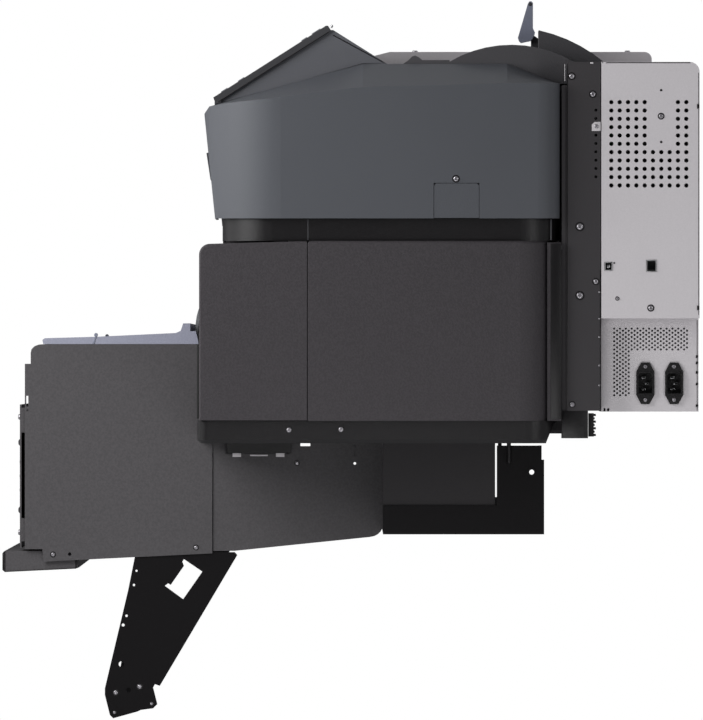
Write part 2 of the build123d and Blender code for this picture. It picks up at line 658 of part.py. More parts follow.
# ---------------------------------------------------------------------------
# Electronics at the rear
# ---------------------------------------------------------------------------
def make_electronics():
    """The two bright boxes behind the panel end, and what they hold."""
    with BuildPart() as electronics_tray:
        block((BOX_LOW_X + 2, 166, 263), (BOX_HIGH_X - 2, 167.5, 565))
        for x in (910, 1190):
            for z in (310, 530):
                with Locations(Location((x, 170, z), (90, 0, 0))):
                    Cylinder(4, 6)
    finish_piece(electronics_tray, "electronics_tray")

    with BuildPart() as main_board:
        block((900, 173, 300), (1200, 175, 540))
        for x, z, size in ((960, 480, 40), (1040, 380, 55), (1120, 480, 30)):
            block((x - size / 2, 175, z - size / 2), (x + size / 2, 181, z + size / 2))
    finish_piece(main_board, "main_board")

    usb = (169.0, 178.0, 317.5, 327.5)
    lan = (219.0, 231.0, 316.0, 330.0)
    corner = 12.0
    with BuildPart() as electronics_cover:
        for inset, low, high, mode in (
            (0.0, BOX_LOW_X, BOX_HIGH_X, Mode.ADD),
            (THIN_SHEET, BOX_LOW_X + THIN_SHEET, BOX_HIGH_X - THIN_SHEET, Mode.SUBTRACT),
        ):
            radius = corner - inset
            with BuildSketch(Plane.YZ.offset(low)) as end:
                with BuildLine():
                    Line((BOX_FRONT - inset, BOX_BOTTOM + inset), (BOX_REAR - inset, BOX_BOTTOM + inset))
                    Line((BOX_REAR - inset, BOX_BOTTOM + inset), (BOX_REAR - inset, REAR_TOP - corner))
                    CenterArc((BOX_REAR - corner, REAR_TOP - corner), radius, 0, 90)
                    Line((BOX_REAR - corner, REAR_TOP - inset), (BOX_FRONT - inset, REAR_TOP - inset))
                    Line((BOX_FRONT - inset, REAR_TOP - inset), (BOX_FRONT - inset, BOX_BOTTOM + inset))
                make_face()
            extrude(end.sketch, amount=high - low, mode=mode)
        places = []
        for column in range(10):
            for row in range(11):
                if row < 6 and column in (5, 6, 7):
                    continue
                y = 177 + column * VENT_PITCH
                z = 519.6 - row * VENT_PITCH
                places.append(Location((BOX_HIGH_X, y, z), (0, 90, 0)))
        with Locations(*places):
            Cylinder(VENT_RADIUS, 8, mode=Mode.SUBTRACT)
        for low_y, high_y, low_z, high_z in (usb, lan):
            block(
                (BOX_HIGH_X - 4, low_y - 0.3, low_z - 0.3),
                (BOX_HIGH_X + 1, high_y + 0.3, high_z + 0.3),
                mode=Mode.SUBTRACT,
            )
    finish_piece(electronics_cover, "electronics_cover")

    with BuildPart() as connectors:
        for (low_y, high_y, low_z, high_z), wall in ((usb, 0.8), (lan, 1.2)):
            block((BOX_HIGH_X - 18, low_y, low_z), (BOX_HIGH_X + 0.6, high_y, high_z))
            block(
                (BOX_HIGH_X - 12, low_y + wall, low_z + wall),
                (BOX_HIGH_X + 1, high_y - wall, high_z - wall),
                mode=Mode.SUBTRACT,
            )
        for i in range(3):
            block((1190 + 30 * i, 150, 118), (1212 + 30 * i, 156, 146))
    finish_piece(connectors, "connectors")

    fan_y, fan_z = 222.0, 470.0
    with BuildPart() as fan_frame:
        block((1256, fan_y - 40, fan_z - 40), (1281, fan_y + 40, fan_z + 40))
        rod_x(37.5, 1250, 1290, fan_y, fan_z, mode=Mode.SUBTRACT)
        rod_x(15, 1256, 1260, fan_y, fan_z)
        for angle in range(4):
            with Locations(Location((1258, fan_y, fan_z), (45 + 90 * angle, 0, 0))):
                with Locations((0, 26, 0)):
                    Box(4, 26, 4)
        rod_x(3.0, 1260, 1276, fan_y, fan_z)
    finish_piece(fan_frame, "fan_frame")

    with BuildPart() as fan_rotor:
        rod_x(15, 1260.5, 1278, fan_y, fan_z)
        for i in range(7):
            with Locations(Location((1269, fan_y, fan_z), (360 / 7 * i, 0, 0))):
                with Locations(Location((0, 24.5, 0), (0, 55, 0))):
                    Box(18, 22, 1.6)
        rod_x(3.0 + FIT, 1259, 1276.5, fan_y, fan_z, mode=Mode.SUBTRACT)
    finish_piece(fan_rotor, "fan_rotor")

    low_x, rear, bottom = 900.0, 282.0, 148.0
    with BuildPart() as power_box:
        block((low_x, BOX_FRONT, bottom), (POWER_HIGH_X, rear, BOX_BOTTOM))
        block(
            (low_x + THIN_SHEET, BOX_FRONT - 1, bottom + THIN_SHEET),
            (POWER_HIGH_X - THIN_SHEET, rear - THIN_SHEET, BOX_BOTTOM - THIN_SHEET),
            mode=Mode.SUBTRACT,
        )
        places = []
        for row in range(33):
            columns = 13 if row < 11 else 3
            for column in range(columns):
                y = 180.6 + FINE_PITCH_Y * (column + 0.5 * (row % 2))
                z = 247.7 - FINE_PITCH_Z * row
                places.append(Location((POWER_HIGH_X, y, z), (0, 90, 0)))
        with Locations(*places):
            Cylinder(FINE_RADIUS, 8, mode=Mode.SUBTRACT)
        for y in INLET_YS:
            block(
                (POWER_HIGH_X - 4, y - 10.2, INLET_Z - 14.2),
                (POWER_HIGH_X + 1, y + 10.2, INLET_Z + 14.2),
                mode=Mode.SUBTRACT,
            )
    finish_piece(power_box, "power_box")

    with BuildPart() as ac_inlets:
        for y in INLET_YS:
            slab(
                [
                    (y - 11, INLET_Z - 14), (y - 5, INLET_Z - 25), (y + 5, INLET_Z - 25),
                    (y + 11, INLET_Z - 14), (y + 11, INLET_Z + 14), (y + 5, INLET_Z + 25),
                    (y - 5, INLET_Z + 25), (y - 11, INLET_Z + 14),
                ],
                POWER_HIGH_X,
                POWER_HIGH_X + 3,
            )
            block(
                (POWER_HIGH_X - 24, y - 10, INLET_Z - 14), (POWER_HIGH_X + 3, y + 10, INLET_Z + 14)
            )
            block(
                (POWER_HIGH_X - 16, y - 8.1, INLET_Z - 12),
                (POWER_HIGH_X + 4, y + 8.1, INLET_Z + 12),
                mode=Mode.SUBTRACT,
            )
            for dy, dz in ((-2, -7), (2, 0), (-2, 7)):
                block(
                    (POWER_HIGH_X - 17, y + dy - 2, INLET_Z + dz - 1),
                    (POWER_HIGH_X - 5, y + dy + 2, INLET_Z + dz + 1),
                )
    finish_piece(ac_inlets, "ac_inlets")

    with BuildPart() as power_supply:
        block((920, 190, bottom + THIN_SHEET), (1180, 270, 235))
        block((924, 186, 160), (1176, 190, 225))
    finish_piece(power_supply, "power_supply")


# ---------------------------------------------------------------------------
# Carriage and its drive
# ---------------------------------------------------------------------------
def make_carriage_rail():
    """The long box rail with its guide strip and the idler's bracket."""
    wall = 4.0
    with BuildPart() as carriage_rail:
        block((-RAIL_HALF_LENGTH, RAIL_FRONT, RAIL_BOTTOM), (RAIL_HALF_LENGTH, RAIL_BACK, RAIL_HEIGHT_TOP))
        block(
            (-RAIL_HALF_LENGTH, RAIL_FRONT + wall, RAIL_BOTTOM + wall),
            (RAIL_HALF_LENGTH, RAIL_BACK - wall, RAIL_HEIGHT_TOP - wall),
            mode=Mode.SUBTRACT,
        )
        block((-RAIL_HALF_LENGTH, RAIL_FRONT - 6, 462), (RAIL_HALF_LENGTH, RAIL_FRONT, 478))
        block((-PULLEY_X - 30, 36, RAIL_HEIGHT_TOP), (-1180, 84, RAIL_HEIGHT_TOP + 3))
        rod_z(4.0, -PULLEY_X, PULLEY_Y, RAIL_HEIGHT_TOP + 3, PULLEY_TOP + 2)
    finish_piece(carriage_rail, "carriage_rail")


def make_carriage():
    """The print carriage, parked at the panel end, and its four heads."""
    low, high = CARRIAGE_LOW_X, CARRIAGE_HIGH_X
    clearance = 0.4
    with BuildPart() as carriage:
        shell = [(-130, 372), (28, 372), (28, 500), (-60, 500), (-130, 450)]
        hollow = [(-126, 384), (24, 384), (24, 496), (-58, 496), (-126, 447)]
        slab(shell, low, high)
        slab(hollow, low + 4, high - 4, mode=Mode.SUBTRACT)
        # bearing blocks that run on the guide strip
        for x in (low + 20, high - 80):
            block((x, 28, 452), (x + 60, 39.6, 488))
            pocket_high = (x + 61, 40, 478 + clearance)
            block((x - 1, 34 - clearance, 462 - clearance), pocket_high, mode=Mode.SUBTRACT)
        # arm that reaches over the rail to the belt
        block((1080, 22, 498), (1100, 28, 534))
        block((1080, 28, 526), (1100, 46.2, 534))
        for i in range(4):
            x = low + 50 + 55 * i
            block((x - 18.2, -110.2, 371), (x + 18.2, -19.8, 385), mode=Mode.SUBTRACT)
    finish_piece(carriage, "carriage")
    with BuildPart() as print_heads:
        for i in range(4):
            x = low + 50 + 55 * i
            block((x - 18, -110, 358.5), (x + 18, -20, 400))
    finish_piece(print_heads, "print_heads")


def make_belt_drive():
    """Timing belt, its two pulleys and the carriage motor."""
    thickness = 1.5
    inner = PULLEY_RADIUS + 0.1
    with BuildPart() as drive_belt:
        with BuildSketch(Plane.XY.offset(PULLEY_BOTTOM + 1)):
            with Locations((0, PULLEY_Y)):
                SlotCenterToCenter(2 * PULLEY_X, 2 * (inner + thickness))
                SlotCenterToCenter(2 * PULLEY_X, 2 * inner, mode=Mode.SUBTRACT)
        extrude(amount=PULLEY_TOP - PULLEY_BOTTOM - 2)
    finish_piece(drive_belt, "drive_belt")
    for name, x in (("drive_pulley", PULLEY_X), ("idler_pulley", -PULLEY_X)):
        with BuildPart() as pulley:
            rod_z(PULLEY_RADIUS, x, PULLEY_Y, PULLEY_BOTTOM, PULLEY_TOP)
            rod_z(PULLEY_RADIUS + 3, x, PULLEY_Y, PULLEY_BOTTOM - 0.6, PULLEY_BOTTOM + 0.6)
            rod_z(4.0 + FIT, x, PULLEY_Y, PULLEY_BOTTOM - 1, PULLEY_TOP + 1, mode=Mode.SUBTRACT)
        finish_piece(pulley, name)
    with BuildPart() as carriage_motor:
        rod_z(28, PULLEY_X, PULLEY_Y, 436, RAIL_HEIGHT_TOP)
        block((1180, 36, RAIL_HEIGHT_TOP), (PULLEY_X + 30, 84, RAIL_HEIGHT_TOP + 3))
        rod_z(4.0, PULLEY_X, PULLEY_Y, RAIL_HEIGHT_TOP + 3, PULLEY_TOP + 2)
    finish_piece(carriage_motor, "carriage_motor")


# ---------------------------------------------------------------------------
# Media path
# ---------------------------------------------------------------------------
def make_platen():
    """The flat platen, with the slot for the feed roller and a rear tongue."""
    plate = 6.0
    bottom = PLATEN_TOP - plate
    with BuildPart() as platen:
        block((-FRAME_OUTER, -210, bottom), (FRAME_OUTER, 79, PLATEN_TOP))
        block((-862, 79, bottom), (862, 150, PLATEN_TOP))
        block((-848, ROLLER_Y - 14, bottom - 1), (848, ROLLER_Y + 14, PLATEN_TOP + 1), mode=Mode.SUBTRACT)
        for i in range(9):
            x = -800 + 200 * i
            block((x - 2, -205, bottom - 24), (x + 2, 40, bottom))
    finish_piece(platen, "platen")


def make_after_platen():
    """The curved sheet that turns the media down behind the dryer."""
    half = 850.0
    with BuildPart() as after_platen:
        with BuildSketch(Plane.YZ.offset(-half)):
            with BuildLine():
                Spline((-210, 356), (-268, 338), (-318, 278), (-325, 235), tangents=((-1, 0), (0, -1)))
                Line((-325, 235), (-296, 20))
                Line((-296, 20), (-293, 20))
                Line((-293, 20), (-321.5, 235))
                Spline((-321.5, 235), (-315, 277), (-266, 334.5), (-210, 352.5), tangents=((0, 1), (1, 0)))
                Line((-210, 352.5), (-210, 356))
            make_face()
        extrude(amount=2 * half)
    finish_piece(after_platen, "after_platen")


def make_rollers():
    """Feed roller, pinch arms on their shaft, and the pinch rollers."""
    stub = 6.0
    with BuildPart() as feed_roller:
        rod_x(FEED_RADIUS, -845, 845, ROLLER_Y, FEED_Z)
        rod_x(stub, -FRAME_OUTER - 3, FRAME_OUTER + 3, ROLLER_Y, FEED_Z)
    finish_piece(feed_roller, "feed_roller")

    axle = 4.0
    arm = [(ROLLER_Y - 8, 361), (ROLLER_Y + 6, 359), (112, 388), (110, 404), (98, 404), (ROLLER_Y - 8, 371)]
    with BuildPart() as pinch_arms:
        rod_x(stub, -FRAME_OUTER - 3, FRAME_OUTER + 3, PINCH_SHAFT_Y, PINCH_SHAFT_Z)
        for i in range(10):
            x = -828 + 184 * i
            slab(arm, x - 6, x + 6)
        rod_x(axle + FIT, -840, 840, ROLLER_Y, PINCH_Z, mode=Mode.SUBTRACT)
    finish_piece(pinch_arms, "pinch_arms")

    with BuildPart() as pinch_rollers:
        rod_x(axle, -834, 834, ROLLER_Y, PINCH_Z)
        for i in range(9):
            x = -736 + 184 * i
            rod_x(PINCH_RADIUS, x - 40, x + 40, ROLLER_Y, PINCH_Z)
    finish_piece(pinch_rollers, "pinch_rollers")


def make_station():
    """Capping station, wiper and the row of ink cartridges in the panel end."""
    with BuildPart() as capping_station:
        block((975, -125, 320), (1205, -5, 346))
        for i in range(4):
            x = CARRIAGE_LOW_X + 50 + 55 * i
            block((x - 21, -113, 346), (x + 21, -17, 358))
            block((x - 18, -110, 352), (x + 18, -20, 359), mode=Mode.SUBTRACT)
    finish_piece(capping_station, "capping_station")
    with BuildPart() as wiper:
        block((930, -115, 325), (948, -15, 345))
        block((937, -112, 345), (941, -18, 358))
    finish_piece(wiper, "wiper")
    with BuildPart() as ink_cartridges:
        for i in range(8):
            x = 930 + 44 * i
            block((x - 16, -170, BAND_TOP - 24), (x + 16, 80, 262))
            block((x - 10, -176, 200), (x + 10, -170, 240))
    finish_piece(ink_cartridges, "ink_cartridges")


# ---------------------------------------------------------------------------
# Front cover
# ---------------------------------------------------------------------------
def make_front_cover():
    """The long hinged front cover, its clear window and its grip."""
    half = 876.0
    drop = 4.0
    low_y, high_y = -282.0, -160.0

    def under(y):
        return slope_height(y) - drop

    with BuildPart() as front_cover:
        slab(
            [
                (-294.5, 386), (-305, 500), (-299, under(-299)), (-124, under(-124)), (-112, under(-124)),
                (-112, under(-124) - SKIN), (-124, under(-124) - SKIN), (-298, under(-298) - SKIN),
                (-302, 499), (-291.5, 386),
            ],
            -half,
            half,
        )
        slab(
            [
                (low_y, under(low_y) + 1), (high_y, under(high_y) + 1),
                (high_y, under(high_y) - 5), (low_y, under(low_y) - 5),
            ],
            -700,
            700,
            mode=Mode.SUBTRACT,
        )
        # a knuckle on each pin of the deck, and the slots that clear the ears
        for side in (-1, 1):
            knuckle = sorted((side * 853, side * 862))
            bore = sorted((side * 851, side * 864))
            slot_low, slot_high = sorted((side * 862.5, side * 867.5))
            rod_x(5.0, *knuckle, HINGE_Y, HINGE_Z)
            rod_x(HINGE_PIN_RADIUS + FIT, *bore, HINGE_Y, HINGE_Z, mode=Mode.SUBTRACT)
            slot_end = (slot_high, HINGE_Y + 6, HINGE_Z + 6)
            block((slot_low, HINGE_Y - 5, HINGE_Z - 6), slot_end, mode=Mode.SUBTRACT)
    finish_piece(front_cover, "front_cover")
    with BuildPart() as front_window:
        slab(
            [
                (low_y + 0.1, under(low_y + 0.1)), (high_y - 0.1, under(high_y - 0.1)),
                (high_y - 0.1, under(high_y - 0.1) - SKIN), (low_y + 0.1, under(low_y + 0.1) - SKIN),
            ],
            -699.9,
            699.9,
        )
    finish_piece(front_window, "front_window")
    with BuildPart() as cover_grip:
        slab([(-298.8, 431), (-309.5, 433), (-314.5, 466), (-302.4, 470)], -120, 120)
    finish_piece(cover_grip, "cover_grip")


# ---------------------------------------------------------------------------
# Dryer in front of the machine
# ---------------------------------------------------------------------------
def make_dryer():
    """Side plates, folded body, top plate, heater tubes and the front bar."""
    side = [
        (-531.4, -19.5), (-531.4, 205.4), (-524.3, 205.4), (-524.3, 219.1), (-523.3, 223.1),
        (-519.7, 226.8), (-514.2, 228.8), (-508.1, 229.2), (-303.9, 229.2), (-303.9, -24.6),
        (-509.1, -34.7), (-510.1, -19.5),
    ]
    with BuildPart() as dryer_sides:
        slab(side, PANEL_OUTER, PANEL_OUTER + SHEET)
        block((PANEL_OUTER - 1, -529.6, 153.5), (PANEL_OUTER + 3, -527.2, 166.5), mode=Mode.SUBTRACT)
        rod_x(1.4, PANEL_OUTER - 1, PANEL_OUTER + 3, -528.4, 149, mode=Mode.SUBTRACT)
        rod_x(2.1, PANEL_OUTER - 1, PANEL_OUTER + 3, -477, -25.5, mode=Mode.SUBTRACT)
        mirror(about=Plane.YZ)
    finish_piece(dryer_sides, "dryer_sides")

    half = PANEL_INNER
    with BuildPart() as dryer_body:
        slab(
            [
                (-520, -12), (-520, 214), (-507, 228), (-332, 228), (-332, 226), (-506, 226),
                (-518, 213), (-518, -10), (-332, -10), (-332, -12),
            ],
            -half,
            half,
        )
        # the front plate stands off the wall on a rib above and a rib below
        block((-half, -537.5, -18), (half, -535.5, 156))
        block((-half, -535.5, 122), (half, -520, 152))
        block((-half, -535.5, -10), (half, -520, 18))
    finish_piece(dryer_body, "dryer_body")

    top = [
        (-509.1, 229.4), (-510.1, 234.3), (-507.1, 236.5), (-443.4, 238.3), (-348.4, 242.8),
        (-342.3, 245.4), (-339.3, 254.5), (-330.7, 254.5), (-330.7, 229.4),
    ]
    with BuildPart() as dryer_hood:
        slab(top, -PANEL_OUTER - SHEET, PANEL_OUTER + SHEET)
        slab(
            [(-505, 228), (-504, 232.5), (-444, 234), (-346, 239), (-339, 239), (-339, 228)],
            -PANEL_OUTER + 4,
            PANEL_OUTER - 4,
            mode=Mode.SUBTRACT,
        )
        for low, high in ((-PANEL_OUTER - SHEET, -854), (854, PANEL_OUTER + SHEET)):
            slab([(-330.7, 229.4), (-321, 229.4), (-321, 233), (-324, 245), (-330.7, 245)], low, high)
    finish_piece(dryer_hood, "dryer_hood")

    with BuildPart() as heater_tubes:
        for z in (50, 105, 160):
            rod_x(6, -840, 840, -410, z)
            rod_x(10, 838, PANEL_OUTER, -410, z)
            rod_x(10, -PANEL_OUTER, -838, -410, z)
    finish_piece(heater_tubes, "heater_tubes")

    bar = [
        (-558.7, -24.6), (-556.7, -22.1), (-504.1, -21.6), (-466.7, -32.7), (-465.7, -41.8),
        (-469.7, -43.3), (-555.7, -47.4), (-558.7, -44.8),
    ]
    with BuildPart() as front_bar:
        slab(bar, -half, half)
    finish_piece(front_bar, "front_bar")


def make_media_arms():
    """Black arms that hang below the dryer and carry the lower guide bar."""
    outline = [
        (-399, 40), (-306, 40), (-306, -23.2), (-276.6, -23.1), (-273.5, -26.6), (-367.6, -185.4),
        (-373.6, -183.4), (-375.7, -187.4), (-370.6, -207.6), (-375.7, -212.7), (-390.8, -214.7),
        (-394.9, -216.7), (-424.2, -224.8), (-428.2, -220.8), (-434.3, -196.5), (-434.3, -188.4),
        (-406, -69.1), (-397.9, -28.6),
    ]
    window = [
        (-338.3, -31.7), (-316, -46.8), (-339.3, -80.2), (-361.5, -64), (-357.5, -61), (-354.4, -63),
        (-338.3, -39.8), (-340.3, -34.7),
    ]
    # the far arm is plainer and narrower, with a larger window
    far_outline = [
        (-399, 40), (-306, 40), (-306, -24), (-284, -24), (-386, -181), (-386, -203), (-421, -214),
        (-430, -190), (-408, -66), (-399, -26),
    ]
    far_window = [(-348, -36), (-317, -58), (-348, -101), (-379, -78)]
    bar_y, bar_z = -389.0, -170.0
    with BuildPart() as media_arms:
        slab(outline, PANEL_INNER, PANEL_OUTER)
        slab(window, PANEL_INNER - 1, PANEL_OUTER + 1, mode=Mode.SUBTRACT)
        for y, z, radius in (
            (-395.9, -45.8, 1.3), (-398.9, -63, 1.5), (-408, -100.4, 1.5),
            (-412.1, -111.6, 1.8), (-414.1, -159.1, 3.4), (-405.6, -190.4, 3),
        ):
            rod_x(radius, PANEL_INNER - 1, PANEL_OUTER + 1, y, z, mode=Mode.SUBTRACT)
        slab(far_outline, -PANEL_OUTER, -PANEL_INNER)
        slab(far_window, -PANEL_OUTER - 1, -PANEL_INNER + 1, mode=Mode.SUBTRACT)
    finish_piece(media_arms, "media_arms")
    with BuildPart() as guide_bar:
        rod_x(12, -PANEL_INNER, PANEL_INNER, bar_y, bar_z)
        rod_x(10, -PANEL_INNER + 3, PANEL_INNER - 3, bar_y, bar_z, mode=Mode.SUBTRACT)
    finish_piece(guide_bar, "guide_bar")


# ---------------------------------------------------------------------------
# Fasteners
# ---------------------------------------------------------------------------
def make_cover_screws():
    """Pan-head screws on the two ends, as separate heads that sit on the sheet."""
    head = 1.6
    dryer_face = PANEL_OUTER + SHEET
    arm_face = PANEL_OUTER
    # each screw: the face it sits on, y, z and head radius
    mirrored = [
        (HALF_WIDTH, -9.6, 427.5, 3.6),
        (BOX_HIGH_X, 129.6, 550.8, 3.6), (BOX_HIGH_X, 154.8, 529.2, 3.6),
        (BOX_HIGH_X, 139.2, 370.2, 4.4), (BOX_HIGH_X, 158.4, 304.2, 3.4),
        (BOX_HIGH_X, 139.2, 287.4, 4.4), (BOX_HIGH_X, 130, 156.6, 3.2),
        (HALF_WIDTH - 4, -210, 126, 3.4), (HALF_WIDTH - 4, -147.6, 126.6, 3.4),
        (PANEL_OUTER, -201.1, 85, 2.8),
        (dryer_face, -497.2, -26, 2.8), (dryer_face, -323.7, -17.5, 2.8),
    ]
    panel_end = [
        (arm_face, -421.2, -193.5, 3.0), (arm_face, -392.2, -186.4, 3.0),
        (arm_face, -422.7, -217.7, 2.0), (arm_face, -377.7, -207.1, 2.0),
        (BOX_HIGH_X, 236.8, 502.8, 3.2), (BOX_HIGH_X, 224.4, 272.4, 3.4), (BOX_HIGH_X, 184.2, 283.8, 2.0),
    ]
    panel_end += [
        (POWER_HIGH_X + 3, y, INLET_Z + side * INLET_SCREW_OFFSET, 2.6)
        for y in INLET_YS
        for side in (-1, 1)
    ]
    with BuildPart() as cover_screws:
        for face, y, z, radius in mirrored:
            rod_x(radius, face, face + head, y, z)
            rod_x(radius, -face - head, -face, y, z)
        for face, y, z, radius in panel_end:
            rod_x(radius, face, face + head, y, z)
        chamfer(cover_screws.edges().filter_by(GeomType.CIRCLE), length=0.4)
    finish_piece(cover_screws, "cover_screws")


def main():
    make_base_beam()
    make_main_beam()
    make_rear_brackets()
    make_end_frames()
    make_lower_side_panels()
    make_rear_frames()
    make_back_panel()
    make_top_deck()
    make_base_trays()
    make_lower_covers()
    make_front_doors()
    make_neck_bands()
    make_upper_covers()
    make_service_caps()
    make_dome_covers()
    make_rear_shoulders()
    make_control_panel()
    make_media_lever()
    make_electronics()
    make_carriage_rail()
    make_carriage()
    make_belt_drive()
    make_platen()
    make_after_platen()
    make_rollers()
    make_station()
    make_front_cover()
    make_dryer()
    make_media_arms()
    make_cover_screws()


main()
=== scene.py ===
# %% [markdown]
# # A wide roll printer, end on
# The printer is a CAD assembly that arrives packed and fixed. This lesson adds what the
# CAD model leaves out: the camera, the studio, the finishes, and the small pieces that
# make a sheet-metal machine look real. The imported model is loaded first, because every
# position below is read from it.

import bpy
import bmesh
import json
import math
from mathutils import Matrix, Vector


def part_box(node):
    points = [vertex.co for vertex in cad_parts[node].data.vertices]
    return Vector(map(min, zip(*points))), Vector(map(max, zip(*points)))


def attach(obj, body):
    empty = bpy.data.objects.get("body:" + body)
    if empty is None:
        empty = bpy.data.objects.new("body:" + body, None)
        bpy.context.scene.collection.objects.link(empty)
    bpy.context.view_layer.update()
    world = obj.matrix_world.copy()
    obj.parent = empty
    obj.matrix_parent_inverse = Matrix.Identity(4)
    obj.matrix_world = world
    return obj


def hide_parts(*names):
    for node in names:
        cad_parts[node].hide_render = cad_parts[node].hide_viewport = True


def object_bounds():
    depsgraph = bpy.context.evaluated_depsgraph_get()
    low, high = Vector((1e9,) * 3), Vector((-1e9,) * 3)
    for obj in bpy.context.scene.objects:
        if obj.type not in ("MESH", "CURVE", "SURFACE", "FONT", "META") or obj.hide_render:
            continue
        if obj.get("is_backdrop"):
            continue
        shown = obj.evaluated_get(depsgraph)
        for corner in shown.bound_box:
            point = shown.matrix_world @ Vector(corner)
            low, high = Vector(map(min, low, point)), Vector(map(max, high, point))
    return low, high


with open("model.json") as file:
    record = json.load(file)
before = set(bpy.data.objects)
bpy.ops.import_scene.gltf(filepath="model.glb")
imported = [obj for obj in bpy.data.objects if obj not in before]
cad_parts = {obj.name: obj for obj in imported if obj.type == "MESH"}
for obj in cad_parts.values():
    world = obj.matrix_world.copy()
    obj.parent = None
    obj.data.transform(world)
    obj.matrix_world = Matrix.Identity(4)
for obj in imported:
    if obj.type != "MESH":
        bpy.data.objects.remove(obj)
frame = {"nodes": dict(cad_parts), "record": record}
cad_low, cad_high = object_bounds()
nodes = frame["nodes"]
print("nodes:", len(nodes), "size:", [round(v, 3) for v in cad_high - cad_low])

# %% [markdown]
# ## Camera
# The machine is seen square on from its panel end, so the camera looks along -X. A very
# long lens keeps the far end hidden behind the near end, as a flat, almost parallel view
# does. It is a perspective camera, not an orthographic one, so that the same camera
# still frames the whole machine when it is moved to another side.

# %% Camera
SENSOR = 0.036
LENS = 1.6
FRAME_HEIGHT = 0.864
end_face = cad_high.x
aim = Vector((end_face, -0.135, 0.21))
distance = FRAME_HEIGHT * LENS / SENSOR

camera_data = bpy.data.cameras.new("camera")
camera_data.sensor_width = SENSOR * 1000
camera_data.lens = LENS * 1000
camera_data.clip_start = 1.0
camera_data.clip_end = 2 * distance
camera = bpy.data.objects.new("camera", camera_data)
bpy.context.scene.collection.objects.link(camera)
camera.location = aim + Vector((distance, 0, 0))
camera.rotation_euler = (math.radians(90), 0, math.radians(90))
bpy.context.scene.camera = camera
bpy.context.scene.view_settings.view_transform = "Standard"
print("camera at", round(camera.location.x, 2), "m")

# %% [markdown]
# ## Studio
# A white room that fills the background, a pale floor well below (the machine stands on
# legs that aren't part of it), and a few large soft lights. The key light stands close
# to the end face and towards the front, so its light falls off along the covers.

# %% Studio
FLOOR_DROP = 0.75
FLOOR_HALF = 14.0
ROOM_FILL = 0.15  # what the white room adds to the lights


def area_light(name, place, target, width, height, power, tint=(1, 1, 1)):
    """A rectangular softbox at a place, aimed at a target."""
    data = bpy.data.lights.new(name, "AREA")
    data.shape = "RECTANGLE"
    data.size = width
    data.size_y = height
    data.energy = power
    data.color = tint
    light = bpy.data.objects.new(name, data)
    light.location = place
    light.rotation_euler = (Vector(target) - Vector(place)).to_track_quat("-Z", "Y").to_euler()
    bpy.context.scene.collection.objects.link(light)
    return light


world = bpy.data.worlds.new("studio")
world.use_nodes = True
bpy.context.scene.world = world
room = world.node_tree
room.nodes.clear()
seen = room.nodes.new("ShaderNodeBackground")
seen.inputs["Color"].default_value = (1, 1, 1, 1)
seen.inputs["Strength"].default_value = 1.0
fill = room.nodes.new("ShaderNodeBackground")
fill.inputs["Color"].default_value = (0.96, 0.97, 1.0, 1)
fill.inputs["Strength"].default_value = ROOM_FILL
path = room.nodes.new("ShaderNodeLightPath")
choose = room.nodes.new("ShaderNodeMixShader")
sky = room.nodes.new("ShaderNodeOutputWorld")
room.links.new(path.outputs["Is Camera Ray"], choose.inputs[0])
room.links.new(fill.outputs[0], choose.inputs[1])
room.links.new(seen.outputs[0], choose.inputs[2])
room.links.new(choose.outputs[0], sky.inputs[0])

area_light("key", (end_face + 0.46, -1.08, 0.78), (end_face, -0.2, 0.25), 0.9, 0.9, 18.5)
area_light("front", (0.2, -3.2, 1.0), (0, 0, 0.3), 3.4, 1.6, 28)
area_light("top", (-0.4, -0.4, 3.2), (0, 0, 0.3), 3.6, 1.6, 15)
area_light("rear", (0.2, 3.2, 1.2), (0, 0, 0.3), 3.4, 1.6, 30)
area_light("corner", (end_face + 1.3, 1.1, 0.4), (end_face, 0.1, 0.35), 0.35, 0.9, 5)
area_light("low", (end_face + 0.9, -0.1, -0.25), (end_face, 0.0, 0.08), 0.6, 0.4, 3.0)

floor_mesh = bpy.data.meshes.new("floor")
floor_z = cad_low.z - FLOOR_DROP
edge = FLOOR_HALF
floor_mesh.from_pydata(
    [(-edge, -edge, floor_z), (edge, -edge, floor_z), (edge, edge, floor_z), (-edge, edge, floor_z)],
    [],
    [(0, 1, 2, 3)],
)
floor = bpy.data.objects.new("floor", floor_mesh)
bpy.context.scene.collection.objects.link(floor)
floor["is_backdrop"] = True
print("floor at", round(floor_z, 3), "m")

# %% [markdown]
# ## Writing shader maths as expressions
# Blender's Math nodes do the arithmetic of a material. Wrapping a socket in a small
# class with overloaded operators lets the rest of the lesson write that arithmetic the
# way it would be written on paper, such as `1 - mask` or `grain * 0.2 + 0.4`.

# %% Socket arithmetic
COLOUR_A, COLOUR_B, COLOUR_OUT = 6, 7, 2


class Wire:
    """An output socket that takes part in arithmetic."""

    def __init__(self, paint, socket):
        self.paint = paint
        self.socket = socket

    def maths(self, operation, left, right):
        return self.paint.node("ShaderNodeMath", {"operation": operation}, {0: left, 1: right})

    def __add__(self, other):
        return self.maths("ADD", self, other)

    __radd__ = __add__

    def __mul__(self, other):
        return self.maths("MULTIPLY", self, other)

    __rmul__ = __mul__

    def __sub__(self, other):
        return self.maths("SUBTRACT", self, other)

    def __rsub__(self, other):
        return self.maths("SUBTRACT", other, self)

    def __truediv__(self, other):
        return self.maths("DIVIDE", self, other)

    def __gt__(self, other):
        return self.maths("GREATER_THAN", self, other)

    def __lt__(self, other):
        return self.maths("LESS_THAN", self, other)

    def step(self, low, high):
        """0 below low, 1 above high, smooth between."""
        return self.paint.node(
            "ShaderNodeMapRange",
            {"interpolation_type": "SMOOTHSTEP"},
            {"Value": self, "From Min": low, "From Max": high},
        )


